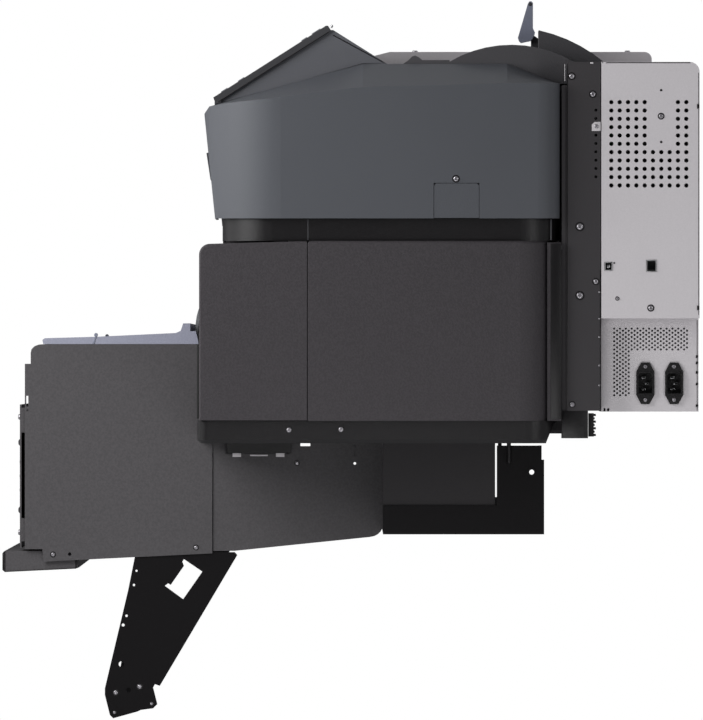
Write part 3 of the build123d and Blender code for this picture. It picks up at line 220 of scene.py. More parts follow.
class Paint:
    """A material whose nodes are made by one method."""

    def __init__(self, name):
        self.material = bpy.data.materials.new(name)
        self.material.use_nodes = True
        self.tree = self.material.node_tree
        self.surface = self.tree.nodes["Principled BSDF"]

    def node(self, kind, settings=None, values=None, out=0):
        made = self.tree.nodes.new(kind)
        for key, value in (settings or {}).items():
            setattr(made, key, value)
        for key, value in (values or {}).items():
            self.join(made.inputs[key], value)
        return Wire(self, made.outputs[out])

    def join(self, entry, value):
        if isinstance(value, Wire):
            self.tree.links.new(value.socket, entry)
        else:
            entry.default_value = value

    def place(self, axis=None):
        """The point on the piece, in metres, or one of its coordinates."""
        point = self.node("ShaderNodeTexCoord", out="Object")
        if axis is None:
            return point
        return self.node("ShaderNodeSeparateXYZ", None, {0: point}, out=axis)

    def stretched(self, scale):
        """The point with each coordinate scaled, for grain that runs one way."""
        return self.node("ShaderNodeVectorMath", {"operation": "MULTIPLY"}, {0: self.place(), 1: scale})

    def noise(self, scale, detail=2.0, point=None, roughness=0.5):
        return self.node(
            "ShaderNodeTexNoise",
            None,
            {
                "Vector": point or self.place(),
                "Scale": scale,
                "Detail": detail,
                "Roughness": roughness,
            },
        )

    def mix(self, factor, low, high):
        values = {0: factor, COLOUR_A: low, COLOUR_B: high}
        return self.node("ShaderNodeMix", {"data_type": "RGBA"}, values, COLOUR_OUT)

    def bump(self, height, depth):
        """A normal from a height between 0 and 1, with its full depth in metres."""
        return self.node("ShaderNodeBump", None, {"Height": height, "Distance": depth, "Strength": 1.0})

    def set(self, **sockets):
        for key, value in sockets.items():
            self.join(self.surface.inputs[key.replace("_", " ")], value)
        return self.material


def shade(colour, factor):
    """A colour made lighter or darker, as the four numbers a socket takes."""
    return tuple(min(1.0, channel * factor) for channel in colour[:3]) + (1.0,)


def srgb(red, green, blue):
    """A colour as seen on a screen, turned into the linear values that shaders work in."""
    return tuple(
        (v / 255 / 12.92) if v / 255 <= 0.04045 else ((v / 255 + 0.055) / 1.055) ** 2.4
        for v in (red, green, blue)
    ) + (1.0,)


print("shader tools ready")

# %% [markdown]
# ## Finishes
# Moulded covers carry a spark-eroded grain: tiny pits that scatter the light and leave a
# soft sheen. It is made from two sizes of noise, one that also lightens the colour a
# little. Powder coat is rounder, so it is made from one noise with a broad orange peel
# below it. Bright sheet is a smooth satin metal with a faint grain. Every finish mixes a
# darker and a lighter shade of its colour, because no real surface is one flat colour.

# %% Moulded plastic
def moulded(name, colour, grain=1100, depth=0.00006, rough=0.55, speckle=0.18, level=0.5):
    """Grained moulded plastic: grains to a metre, the pits' depth in metres, and gloss."""
    paint = Paint(name)
    fine = paint.noise(grain, 3.0)
    broad = paint.noise(7.0, 2.0)
    pits = fine.step(0.32, 0.68)
    tone = pits * speckle + broad * 0.14
    return paint.set(
        Base_Color=paint.mix(tone, shade(colour, 0.86), shade(colour, 1.35)),
        Roughness=rough - 0.06 + pits * 0.1 + broad * 0.06,
        Normal=paint.bump(pits, depth),
        Specular_IOR_Level=level,
    )


# %% Powder coat
def powder(name, colour, grain=650, depth=0.00008, rough=0.5, speckle=0.2, level=0.5):
    """Textured powder coat on steel sheet."""
    paint = Paint(name)
    fine = paint.noise(grain, 4.0, roughness=0.6)
    peel = paint.noise(150, 1.0)
    broad = paint.noise(5.0, 2.0)
    height = fine * 0.7 + peel * 0.3
    tone = fine.step(0.3, 0.7) * speckle + broad * 0.12
    return paint.set(
        Base_Color=paint.mix(tone, shade(colour, 0.86), shade(colour, 1.4)),
        Roughness=rough + fine * 0.12 - 0.06 + broad * 0.06,
        Normal=paint.bump(height, depth),
        Specular_IOR_Level=level,
    )


# %% Bright sheet and machined metal
def satin(name, colour, metal=0.6, rough=0.42, along=(1.0, 1.0, 1.0), speckle=0.25, fine=900):
    """Coated or machined metal with a faint grain that runs one way."""
    paint = Paint(name)
    grain = paint.noise(fine, 3.0, paint.stretched(along))
    cloud = paint.noise(9.0, 3.0)
    tone = grain * speckle + cloud * 0.2
    return paint.set(
        Base_Color=paint.mix(tone, shade(colour, 0.9), shade(colour, 1.12)),
        Metallic=metal,
        Roughness=rough - 0.05 + grain * 0.08 + cloud * 0.06,
        Normal=paint.bump(grain, 0.00002),
    )


# %% Clear pieces
def clear(name, colour, alpha, rough=0.06):
    """Smoked acrylic or quartz, with faint wipe marks in its gloss."""
    paint = Paint(name)
    smear = paint.noise(14.0, 3.0, paint.stretched((0.4, 3.0, 3.0)))
    return paint.set(
        Base_Color=paint.mix(smear, shade(colour, 0.9), shade(colour, 1.1)),
        Roughness=rough + smear * 0.06,
        Alpha=alpha,
        Coat_Weight=0.4,
    )


# %% [markdown]
# ## The finish of each kind of piece
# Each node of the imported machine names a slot, such as black steel or slate cover. One
# dictionary turns a slot into its finish, so a colour is changed in one place for every
# piece that shares it. The grained covers have the coarsest grain, which can be seen from
# a step away, and the slate covers above them the finest.

# %% The finish of each kind of piece
# the slate covers and the panel's housing have the same fine grain
SLATE = {"grain": 1300, "depth": 0.00005, "rough": 0.5, "level": 0.25}
ROLLED = (0.02, 1.0, 1.0)  # stretches the grain along the machine

finishes = {
    "black_steel": powder("black_steel", srgb(14, 12, 14), depth=0.00005, speckle=0.15, level=0.12),
    "grey_steel": powder("grey_steel", srgb(44, 42, 44), level=0.2),
    "panel_grey": powder("panel_grey", srgb(77, 75, 77), grain=420, speckle=0.45, level=0.25),
    "dark_sheet": powder("dark_sheet", srgb(60, 58, 60), level=0.2),
    "bright_sheet": satin(
        "bright_sheet", srgb(204, 200, 203), metal=0.1, rough=0.5, speckle=0.6, fine=480
    ),
    "black_plastic": moulded("black_plastic", srgb(16, 14, 16), rough=0.36, level=0.32),
    "grained_cover": moulded(
        "grained_cover", srgb(57, 54, 57), grain=430, depth=0.00012, speckle=0.5, level=0.25
    ),
    "slate_cover": moulded("slate_cover", srgb(79, 81, 86), **SLATE),
    "hood_plastic": moulded("hood_plastic", srgb(74, 73, 76), grain=900, depth=0.00008, level=0.3),
    "plate_slate": powder("plate_slate", srgb(152, 154, 170), depth=0.00003, rough=0.4, level=0.35),
    "dark_plastic": moulded("dark_plastic", srgb(58, 58, 61), level=0.3),
    "key_plastic": moulded("key_plastic", srgb(120, 122, 128)),
    "lever_slate": powder("lever_slate", srgb(128, 132, 148), depth=0.00003, rough=0.4, level=0.35),
    "board_green": moulded("board_green", srgb(20, 92, 50)),
    "rail_aluminium": satin("rail_aluminium", srgb(190, 191, 193), metal=0.9, rough=0.35, along=ROLLED),
    "platen_aluminium": satin("platen_aluminium", srgb(150, 152, 155), metal=0.8, along=ROLLED),
    "pulley_aluminium": satin("pulley_aluminium", srgb(196, 196, 196), metal=0.9, rough=0.3),
    "head_steel": satin("head_steel", srgb(176, 176, 178), metal=1.0, rough=0.3),
    "belt_rubber": moulded("belt_rubber", srgb(26, 26, 26), rough=0.8),
    "roller_rubber": moulded("roller_rubber", srgb(48, 48, 50), rough=0.75),
    "window_acrylic": clear("window_acrylic", srgb(60, 64, 68), alpha=0.45),
    "heater_quartz": clear("heater_quartz", srgb(226, 220, 210), alpha=0.6),
    "screw_steel": satin("screw_steel", srgb(176, 173, 178), metal=0.7, rough=0.28),
}
print("finishes:", len(finishes))

# %% [markdown]
# ## The screen and the floor
# A touch screen glows a little and shows flat shapes. Its picture could be an image, but
# a few sums on the position draw a bar and a grid of tiles that stay sharp from any
# distance. The floor only has to take soft shadows, so it is a pale, slightly worn paint.

# %% The screen's picture and the studio floor
TILE_COLUMNS = 5
TILE_ROWS = 3.4
TILES_END = 0.85  # how far up the tiles reach, as a share of the screen
BAR_START = 0.9


def display(name, low, high):
    """A touch screen that shows a plain bar above rows of plain tiles."""
    paint = Paint(name)
    across = (paint.place(0) - low.x) / (high.x - low.x)
    up = (paint.place(1) - low.y) / (high.y - low.y)
    column = across.maths("FRACT", across * TILE_COLUMNS, 0.0)
    row = up.maths("FRACT", up * TILE_ROWS, 0.0)
    tile = column.step(0.12, 0.16) * (1 - column.step(0.84, 0.88))
    tile = tile * row.step(0.14, 0.2) * (1 - row.step(0.8, 0.86)) * (up < TILES_END)
    bar = up > BAR_START
    shown = paint.mix(tile, (0.010, 0.016, 0.026, 1), (0.05, 0.10, 0.16, 1))
    shown = paint.mix(bar, shown, (0.12, 0.14, 0.16, 1))
    # finger marks change the gloss
    smear = paint.noise(30.0, 3.0)
    return paint.set(
        Base_Color=(0.004, 0.004, 0.005, 1),
        Roughness=0.08 + smear * 0.08,
        Emission_Color=shown,
        Emission_Strength=1.0,
    )


def studio_floor(name, colour):
    """Pale painted boards, worn a little."""
    paint = Paint(name)
    wear = paint.noise(1.3, 4.0)
    dust = paint.noise(60.0, 2.0)
    return paint.set(
        Base_Color=paint.mix(wear, shade(colour, 0.94), shade(colour, 1.04)),
        Roughness=0.55 + dust * 0.1,
        Normal=paint.bump(dust, 0.0001),
    )


screen_low, screen_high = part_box("panel_screen")
finishes["screen_glass"] = display("screen_glass", screen_low, screen_high)
floor_mesh.materials.append(studio_floor("floor", srgb(236, 236, 238)))

# %% Giving every node its finish
slots = {row["node"]: row["material_slot"] for row in frame["record"]["subparts"]}
# the panel's housing takes a lighter copy of the slate plastic: the extra lightness is painted light on
# the housing
slate_with_painted_light = moulded("slate_with_painted_light", srgb(94, 95, 100), **SLATE)
for name, node in nodes.items():
    node.data.materials.clear()
    node.data.materials.append(slate_with_painted_light if name == "panel_housing" else finishes[slots[name]])
print("nodes with a finish:", len(nodes))

# %% [markdown]
# ## Tools for the small pieces
# The small pieces are meshes built from three moves. A prism is an outline pushed along
# an axis with its edges rounded, which is how folded and cut sheet parts look. A turned
# shape is a profile spun about an axis. A screw head is a turned shape whose top is
# pressed in where the driver's cross would be. Rounded edges matter more than their size
# suggests: they catch the light, and a sheet without them looks like paper.

# %% Piece tools
def finish_mesh(name, mesh_work, finish, body="frame"):
    """Turn mesh work into a named piece with its finish, riding on a body."""
    bmesh.ops.recalc_face_normals(mesh_work, faces=mesh_work.faces)
    mesh = bpy.data.meshes.new(name)
    mesh_work.to_mesh(mesh)
    mesh_work.free()
    for face in mesh.polygons:
        face.use_smooth = True
    mesh.set_sharp_from_angle(angle=math.radians(38))
    mesh.materials.append(finishes[finish])
    piece = bpy.data.objects.new(name, mesh)
    bpy.context.scene.collection.objects.link(piece)
    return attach(piece, body)


def prism(work, outline, axis, low, high, bevel=0.0004, segments=2):
    """Push a closed outline along an axis between two positions, and round its edges."""
    across = [i for i in range(3) if i != axis]
    start = []
    for first, second in outline:
        point = [0.0, 0.0, 0.0]
        point[across[0]] = first
        point[across[1]] = second
        point[axis] = low
        start.append(work.verts.new(point))
    grown = bmesh.ops.extrude_face_region(work, geom=[work.faces.new(start)])
    moved = [item for item in grown["geom"] if isinstance(item, bmesh.types.BMVert)]
    shift = Vector((0, 0, 0))
    shift[axis] = high - low
    bmesh.ops.translate(work, verts=moved, vec=shift)
    edges = {edge for vertex in start + moved for edge in vertex.link_edges}
    bmesh.ops.bevel(
        work, geom=list(edges), offset=bevel, segments=segments, profile=0.5, affect="EDGES"
    )


def brick(work, low, high, bevel=0.0004, segments=2):
    """A small rounded block between two corners."""
    outline = [(low[1], low[2]), (high[1], low[2]), (high[1], high[2]), (low[1], high[2])]
    prism(work, outline, 0, low[0], high[0], bevel, segments)


def plate(work, first_x, second_x, low, high, bevel=0.0004):
    """A rounded block between two places along X, whose corners are (y, z) pairs."""
    near_x, far_x = sorted((first_x, second_x))
    brick(work, (near_x, *low), (far_x, *high), bevel)


def around(y, z, offsets):
    """An outline of (y, z) points, given as steps from one place."""
    return [(y + step_y, z + step_z) for step_y, step_z in offsets]


def turned(work, centre, normal, profile, segments=24, press=None):
    """Spin (radius, height) points about a normal; press lowers points of the top."""
    normal = Vector(normal).normalized()
    across = normal.orthogonal().normalized()
    up = normal.cross(across)
    rings = []
    for radius, height in profile:
        ring = []
        for i in range(segments):
            angle = 2 * math.pi * i / segments
            flat = radius * math.cos(angle), radius * math.sin(angle)
            drop = press(*flat) if press else 0.0
            place = Vector(centre) + across * flat[0] + up * flat[1] + normal * (height - drop)
            ring.append(work.verts.new(place))
        rings.append(ring)
    for outer, inner in zip(rings, rings[1:]):
        for i in range(segments):
            j = (i + 1) % segments
            work.faces.new((outer[i], outer[j], inner[j], inner[i]))
    work.faces.new(rings[-1])


def screw(work, centre, normal, radius, turn=0.0, height=None):
    """A pan-head screw with a cross recess, sitting on a sheet."""
    height = height or radius * 0.55
    profile = [(1.0, 0.0), (1.0, 0.35), (0.93, 0.62), (0.8, 0.84), (0.62, 0.97)]
    profile += [(ring, 1.0) for ring in (0.52, 0.42, 0.32, 0.22, 0.12, 0.03)]
    profile = [(radius * ring, height * rise) for ring, rise in profile]

    def cross(first, second):
        along = abs(first * math.cos(turn) + second * math.sin(turn)) / radius
        aside = abs(second * math.cos(turn) - first * math.sin(turn)) / radius
        inside = min(along, aside) < 0.13 and max(along, aside) < 0.56
        return height * 0.7 if inside else 0.0

    turned(work, centre, normal, profile, 32, cross)


def solids(node):
    """The boxes of the separate solids in a CAD node."""
    work = bmesh.new()
    work.from_mesh(nodes[node].data)
    bmesh.ops.remove_doubles(work, verts=work.verts, dist=1e-5)
    left = set(work.verts)
    boxes = []
    while left:
        chain = [left.pop()]
        found = list(chain)
        while chain:
            for edge in chain.pop().link_edges:
                for vertex in edge.verts:
                    if vertex in left:
                        left.remove(vertex)
                        chain.append(vertex)
                        found.append(vertex)
        low = Vector([min(v.co[i] for v in found) for i in range(3)])
        high = Vector([max(v.co[i] for v in found) for i in range(3)])
        boxes.append((low, high))
    work.free()
    return boxes


print("piece tools ready")

# %% [markdown]
# ## Screws
# Every screw on the two ends is a plain disc in the CAD model. Here each one becomes a
# pan head with a pressed cross, turned to its own angle as real screws are. One seeded
# generator picks the angles, so the machine comes out the same every time.

# %% Screws on the ends
import random

chance = random.Random(7)
MOST_TURN = 1.5  # radians; a cross looks the same after about a quarter turn
HEAD_SHARE = 0.86  # how much of its place in the sheet a head fills
SHADOW_RING_SHARE = 1.32  # how far the painted shadow ring round it reaches
heads = solids("cover_screws")
work = bmesh.new()
shadow_rings = bmesh.new()
for low, high in heads:
    middle = (low + high) / 2
    side = 1 if middle.x > 0 else -1
    place = (low.x if side > 0 else high.x, middle.y, middle.z)
    radius = (high.y - low.y) / 2
    turn = chance.uniform(0, MOST_TURN)
    screw(work, place, (side, 0, 0), radius * HEAD_SHARE, turn, high.x - low.x)
    # a thin black disc under each head is a painted shadow round the screw
    shadow_radius = radius * SHADOW_RING_SHARE
    ring = [(shadow_radius, -0.0002), (shadow_radius * 0.97, 0.0002), (shadow_radius * 0.5, 0.0003)]
    turned(shadow_rings, place, (side, 0, 0), ring, 28)
screws = finish_mesh("screw_heads", work, "screw_steel")
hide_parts("cover_screws")
finish_mesh("screw_shadow_rings", shadow_rings, "black_plastic")
print("screws on the ends:", len(heads))

# %% Screws along the deck, the dryer's front plate and the back
deck_low, deck_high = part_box("top_deck")
dryer_low, dryer_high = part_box("dryer_body")
back_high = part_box("back_panel")[1]
HEAD = 0.0034
REAR_PITCH = 0.13


def spaced(low, high, margin, count):
    """Places from low to high, evenly spaced, the first and last a margin in."""
    return [low + margin + (high - low - 2 * margin) * i / (count - 1) for i in range(count)]


work = bmesh.new()
for x in spaced(deck_low.x, deck_high.x, 0.008, 9):
    for y in (deck_low.y + 0.062, deck_high.y - 0.0295):
        screw(work, (x, y, deck_high.z), (0, 0, 1), HEAD, chance.uniform(0, MOST_TURN), 0.0018)
for x in spaced(dryer_low.x, dryer_high.x, 0.006, 7):
    for z in (0.001, 0.141):
        screw(work, (x, dryer_low.y, z), (0, -1, 0), HEAD, chance.uniform(0, MOST_TURN), 0.0022)
for i in range(-6, 7):
    for z in (0.160, 0.318, 0.432, 0.556):
        place = (REAR_PITCH * i, back_high.y, z)
        screw(work, place, (0, 1, 0), 0.0032, chance.uniform(0, MOST_TURN), 0.0018)
finish_mesh("sheet_screws", work, "screw_steel")
print("screws along the sheets placed")

# %% [markdown]
# ## Sockets
# A mains inlet is a black moulding with three flat metal blades. Data sockets are thin
# bright shells with a dark tongue or a row of contacts. They are small, but they give
# the machine its scale, so each gets its metal.

# %% Mains inlets
BLADE = Vector((0.0105, 0.0046, 0.0026))  # how far it stands out, its width and thickness
BLADE_ROOT = 0.0185  # how deep in the moulding a blade starts
RIM = 0.0012
HALF_MOUTH = 0.0095
MOUTH_REACH = 0.013
inlets = [box for box in solids("ac_inlets") if box[1].y - box[0].y > 0.015]

work = bmesh.new()
for low, high in inlets:
    middle = (low + high) / 2
    for dy, dz in ((-0.002, -0.007), (0.002, 0.0), (-0.002, 0.007)):
        foot = Vector((high.x - BLADE_ROOT, middle.y + dy, middle.z + dz))
        half = Vector((0, BLADE.y / 2, BLADE.z / 2))
        brick(work, foot - half, foot + half + Vector((BLADE.x, 0, 0)), 0.0003)
finish_mesh("inlet_blades", work, "head_steel")

# the mouth is a box with its two upper corners cut, and each side of it gets a bar
mouth = [
    (-HALF_MOUTH, -MOUTH_REACH), (HALF_MOUTH, -MOUTH_REACH), (HALF_MOUTH, 0.0085),
    (0.006, MOUTH_REACH), (-0.006, MOUTH_REACH), (-HALF_MOUTH, 0.0085),
]
work = bmesh.new()
for low, high in inlets:
    middle = (low + high) / 2
    corners = around(middle.y, middle.z, mouth)
    for (y0, z0), (y1, z1) in zip(corners, corners[1:] + corners[:1]):
        length = math.hypot(y1 - y0, z1 - z0)
        out_y, out_z = (z1 - z0) / length * RIM, -(y1 - y0) / length * RIM
        bar = [(y0, z0), (y1, z1), (y1 + out_y, z1 + out_z), (y0 + out_y, z0 + out_z)]
        prism(work, bar, 0, high.x - 0.0002, high.x + 0.0014, 0.0003)
finish_mesh("inlet_rims", work, "black_plastic")
print("inlets:", len(inlets))

# %% Data sockets
SHELL = 0.0009
SHELL_DEPTH = 0.006
CONTACTS = 8
WIDE_SOCKET = 0.0105  # the network socket is wider than this
connectors = solids("connectors")
sockets = [box for box in connectors if box[1].z > 0.2]

work = bmesh.new()
for low, high in sockets:
    face = high.x + 0.0004
    for y in (low.y, high.y - SHELL):
        plate(work, face - SHELL_DEPTH, face, (y, low.z), (y + SHELL, high.z), 0.0002)
    for z in (low.z, high.z - SHELL):
        plate(work, face - SHELL_DEPTH, face, (low.y, z), (high.y, z + SHELL), 0.0002)
finish_mesh("socket_shells", work, "head_steel")

work = bmesh.new()
for low, high in sockets:
    wide = high.y - low.y
    back = high.x - 0.011
    if wide > WIDE_SOCKET:
        for y in spaced(low.y, high.y, 0.2 * wide, CONTACTS):
            foot, tip = (y - 0.0002, low.z + 0.0014), (y + 0.0002, low.z + 0.0022)
            plate(work, back, high.x - 0.003, foot, tip, 0.0001)
    else:
        middle = (low + high) / 2
        foot = (middle.y - 0.0018, middle.z - 0.0016)
        plate(work, back, high.x - 0.002, foot, (middle.y + 0.0018, middle.z + 0.0016), 0.0003)
finish_mesh("socket_contacts", work, "head_steel")
print("data sockets:", len(sockets))

# %% [markdown]
# ## End details
# Small folded and moulded things along the panel end: the bright tab on the rear post,
# the pale catches under the drip tray, the seam strips of the neck, the front bar's
# black end mouldings, the hinge pin of the dryer's top plate, and the terminal strip.

# %% Rear post
post_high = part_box("rear_frames")[1]
lower_low, lower_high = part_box("lower_covers")
TAB_Z = 0.4905
tab = [(0.1535, -0.0055), (0.1642, -0.0055), (0.1642, 0.0055), (0.157, 0.0055), (0.1535, 0.002)]

work = bmesh.new()
prism(work, around(0, TAB_Z, tab), 0, post_high.x, post_high.x + 0.0009, 0.0003)
# a thin bright strip on the post's flange edge is a painted highlight
plate(work, post_high.x - 0.0005, post_high.x + 0.0004, (0.1208, 0.545), (0.1214, 0.5655), 0.0002)
# two small bright blocks on the post's top edge are painted glints
for y in (0.1536, 0.1692):
    low, high = (y - 0.0018, 0.5658), (y + 0.0018, 0.5676)
    plate(work, post_high.x - 0.0006, post_high.x + 0.0006, low, high, 0.0003)
finish_mesh("post_tab_and_highlights", work, "bright_sheet")

work = bmesh.new()
screw(work, (post_high.x + 0.0009, 0.1592, TAB_Z), (1, 0, 0), 0.0026, 0.4, 0.0014)
for z in (0.2915, 0.2595, 0.2375, 0.2035, 0.1795):
    screw(work, (post_high.x, 0.1625, z), (1, 0, 0), 0.0011, 0.2, 0.0006)
finish_mesh("post_screws", work, "screw_steel")

work = bmesh.new()
for y, foot, head in ((0.1243, 0.152, 0.566), (0.1636, 0.152, 0.318)):
    low, high = (y - 0.0005, foot), (y + 0.0005, head)
    plate(work, post_high.x - 0.0004, post_high.x + 0.0003, low, high, 0.0002)
finish_mesh("post_seams", work, "black_plastic")

# a black strip in the joint behind the lower cover is painted shade, and a cap closes the terminal
# block
SHADE_STRIP_IN = 0.0142  # how far behind the end face the painted-shade strip starts
work = bmesh.new()
for side in (-1, 1):
    low, high = (0.1040, lower_low.z + 0.002), (0.1172, lower_high.z - 0.003)
    plate(work, side * (lower_high.x - SHADE_STRIP_IN), side * (lower_high.x - SHADE_STRIP_IN + 0.001), low, high)
    low, high = (0.1177, 0.1162), (0.1488, 0.1488)
    plate(work, side * (post_high.x - 0.0003), side * (post_high.x + 0.0006), low, high, 0.0003)
finish_mesh("joint_shade_strips_and_caps", work, "black_plastic")
print("rear post dressed")

# %% Electronics boxes
cover_low, cover_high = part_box("electronics_cover")
power_low, power_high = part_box("power_box")
face = cover_high.x
FOLD_UNDER = 0.0005
FOLD_OVER = 0.0002

work = bmesh.new()
# the dark strip along the box's top edge is a painted shadow line under the cover's lip; the strips
# along the rear edges are dark folds
top_shadow_line = (cover_low.y + 0.001, cover_high.z - 0.0016), (cover_high.y - 0.011, cover_high.z - 0.0004)
rear_fold = (cover_high.y - 0.0016, cover_low.z + 0.004), (cover_high.y - 0.0008, cover_high.z - 0.013)
for low, high in (top_shadow_line, rear_fold):
    plate(work, face - FOLD_UNDER, face + FOLD_OVER, low, high, 0.0002)
low = (power_high.y - 0.0022, power_low.z + 0.001)
high = (power_high.y - 0.0012, power_high.z - 0.002)
plate(work, power_high.x - FOLD_UNDER, power_high.x + FOLD_OVER, low, high, 0.0002)
finish_mesh("box_folds_and_shadow_line", work, "dark_sheet")

work = bmesh.new()
for y, z, radius in ((0.2368, 0.534, 0.0015), (0.2368, 0.4718, 0.0015), (0.1805, 0.3265, 0.0011)):
    pinhole = [(radius, 0.0), (radius, 0.0004), (radius * 0.3, 0.0003)]
    turned(work, (face - 0.0002, y, z), (1, 0, 0), pinhole, 16)
finish_mesh("box_pinholes", work, "black_plastic")

# spring clips along the rear edges and two feet under the power box
power_clip = [(-0.0035, -0.0016), (-0.0006, -0.001), (-0.0006, 0.0014), (-0.003, 0.0018)]
cover_clip = [(-0.003, -0.003), (-0.0004, -0.002), (-0.0004, 0.002), (-0.003, 0.003)]
foot = [(-0.0012, 0.0002), (0.0012, 0.0002), (0.0009, 0.0042), (-0.001, 0.0036)]
work = bmesh.new()
for z in (0.214, 0.2065, 0.195, 0.181, 0.155):
    clip = around(power_high.y, z, power_clip)
    prism(work, clip, 0, power_high.x - 0.001, power_high.x + 0.0012, 0.0003)
for z in (0.5145, 0.2725):
    prism(work, around(cover_high.y, z, cover_clip), 0, face - 0.001, face + 0.0014, 0.0003)
for y in (0.1690, 0.1735):
    stub = around(y, power_low.z, foot)
    prism(work, stub, 0, power_high.x - 0.001, power_high.x + 0.0015, 0.0003)
finish_mesh("box_clips", work, "black_steel")

# two pressed ribs stiffen the back of the box
rib = [(-0.002, -0.007), (0.0, -0.003), (0.0, 0.003), (-0.002, 0.007)]
work = bmesh.new()
for z in (0.300, 0.530):
    prism(work, around(cover_high.y, z, rib), 0, cover_low.x + 0.03, cover_high.x - 0.03, 0.0005)
finish_mesh("box_ribs", work, "bright_sheet")
print("boxes dressed")

# %% Terminal strip
RIBS = 7
work = bmesh.new()
for low, high in (box for box in connectors if box[1].z < 0.2):
    for i in range(RIBS):
        z = low.z + (high.z - low.z) * (i + 0.5) / RIBS
        out = 0.0012 if i % 2 else 0.0026
        foot, tip = (high.y - 0.0015, z - 0.0014), (high.y + out, z + 0.0012)
        plate(work, low.x + 0.001, high.x - 0.001, foot, tip)
finish_mesh("terminal_ribs", work, "black_plastic")

# %% Catches under the drip tray
CATCH_X = 0.908
work = bmesh.new()
for y in (-0.2740, -0.2215):
    low, high = (y - 0.0052, 0.0925), (y + 0.0052, 0.0995)
    plate(work, CATCH_X - 0.0005, CATCH_X + 0.0012, low, high, 0.0004)
plate(work, CATCH_X + 0.0055, CATCH_X + 0.0072, (-0.258, 0.0935), (-0.2365, 0.0953), 0.0003)
finish_mesh("tray_catches", work, "bright_sheet")
print("terminal strip and catches placed")

# %% Neck seams and the doors' gaskets
neck_low, neck_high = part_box("neck_bands")
work = bmesh.new()
for side in (-1, 1):
    for y, half in ((-0.1872, 0.0007), (0.1045, 0.0009)):
        low, high = (y - half, neck_low.z + 0.001), (y + half, neck_high.z - 0.001)
        plate(work, side * (neck_high.x - 0.0004), side * (neck_high.x + 0.0003), low, high, 0.0002)
finish_mesh("neck_seams", work, "dark_plastic")

GASKET_TOP = 0.091  # the gasket ends below the latch
for name, side in (("front_door_right", 1), ("front_door_left", -1)):
    low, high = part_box(name)
    outer = high.x if side > 0 else low.x
    x0, x1 = sorted((outer - side * 0.012, outer - side * 0.004))
    y0, y1 = low.y - 0.0028, low.y + 0.0005
    work = bmesh.new()
    strip = [(x0, y0), (x1, y0), (x1, y1), (x0, y1)]
    prism(work, strip, 2, low.z + 0.002, low.z + GASKET_TOP, 0.0006)
    finish_mesh(name + "_gasket", work, "belt_rubber", name)
print("neck and doors dressed")

# %% Front bar's end mouldings
bar_low, bar_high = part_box("front_bar")
front_cap = [
    (bar_low.y + 0.0001, bar_low.z + 0.0028), (bar_low.y + 0.0034, bar_low.z + 0.0001),
    (bar_low.y + 0.0034, bar_high.z - 0.0003), (bar_low.y + 0.0001, bar_high.z - 0.003),
]
rear_cap = [
    (bar_high.y - 0.0045, bar_low.z + 0.0042), (bar_high.y - 0.0001, bar_low.z + 0.0065),
    (bar_high.y - 0.0003, bar_low.z + 0.0145), (bar_high.y - 0.0045, bar_low.z + 0.016),
]
under_strip = [
    (bar_low.y + 0.003, bar_low.z + 0.0001), (bar_high.y - 0.004, bar_low.z + 0.0041),
    (bar_high.y - 0.004, bar_low.z + 0.0052), (bar_low.y + 0.003, bar_low.z + 0.0012),
]
work = bmesh.new()
for side in (-1, 1):
    x0, x1 = sorted((side * (bar_high.x - 0.006), side * (bar_high.x + 0.0012)))
    for outline, bevel in ((front_cap, 0.0005), (rear_cap, 0.0005), (under_strip, 0.0003)):
        prism(work, outline, 0, x0, x1, bevel)
finish_mesh("bar_ends", work, "black_plastic")

# %% The dryer's hinge pins
side_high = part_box("dryer_sides")[1]
PIN_Y = -0.4450
link = [(-0.0042, 0.0002), (-0.0022, 0.0002), (0.0010, 0.0105), (-0.0010, 0.0105)]
pin = [(0.0024, -0.001), (0.0024, 0.0006), (0.0019, 0.0011), (0.0005, 0.0012)]
work = bmesh.new()
for side in (-1, 1):
    x0, x1 = sorted((side * (side_high.x - 0.0006), side * (side_high.x + 0.0008)))
    prism(work, around(PIN_Y, side_high.z, link), 0, x0, x1, 0.0003)
    turned(work, (side * side_high.x, PIN_Y, side_high.z + 0.0112), (side, 0, 0), pin, 20)
finish_mesh("hood_pins", work, "lever_slate")
print("end details placed")

# %% [markdown]
# ## Control panel and lever
# The panel is a wedge with a thin lid: a dark line separates the two. The lever ends in
# a dark pin and stands on a dark stem.

# %% Panel seam and pin
panel_low, panel_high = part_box("panel_face")
housing_low, housing_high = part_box("panel_housing")
SEAM = 0.0006  # half the width of the dark line under the lid
foot = Vector((panel_low.y + 0.006, panel_low.z + 0.0035))
tip = Vector((panel_high.y - 0.0015, panel_high.z - 0.0072))
lid_seam = [(foot.x, foot.y - SEAM), (tip.x, tip.y - SEAM)]
lid_seam += [(tip.x, tip.y + SEAM), (foot.x, foot.y + SEAM)]
back_seam = [
    (housing_high.y - 0.066, housing_high.z - 0.0065),
    (housing_high.y - 0.0645, housing_high.z - 0.0058),
    (housing_high.y - 0.0035, cover_high.z - 0.0002),
    (housing_high.y - 0.0052, cover_high.z - 0.0006),
]
work = bmesh.new()
for outline, low, high in ((lid_seam, panel_low, panel_high), (back_seam, housing_low, housing_high)):
    prism(work, outline, 0, high.x - 0.0006, high.x + 0.0005, 0.0002)
    prism(work, outline, 0, low.x - 0.0005, low.x + 0.0006, 0.0002)
finish_mesh("panel_seams", work, "black_plastic")

work = bmesh.new()
place = (panel_high.x - 0.001, panel_high.y + 0.0012, panel_high.z - 0.0006)
pin = [(0.0016, -0.002), (0.0016, 0.0008), (0.0011, 0.0014), (0.0003, 0.0015)]
turned(work, place, (0, 0.55, 0.83), pin, 16)
finish_mesh("panel_pin", work, "head_steel")

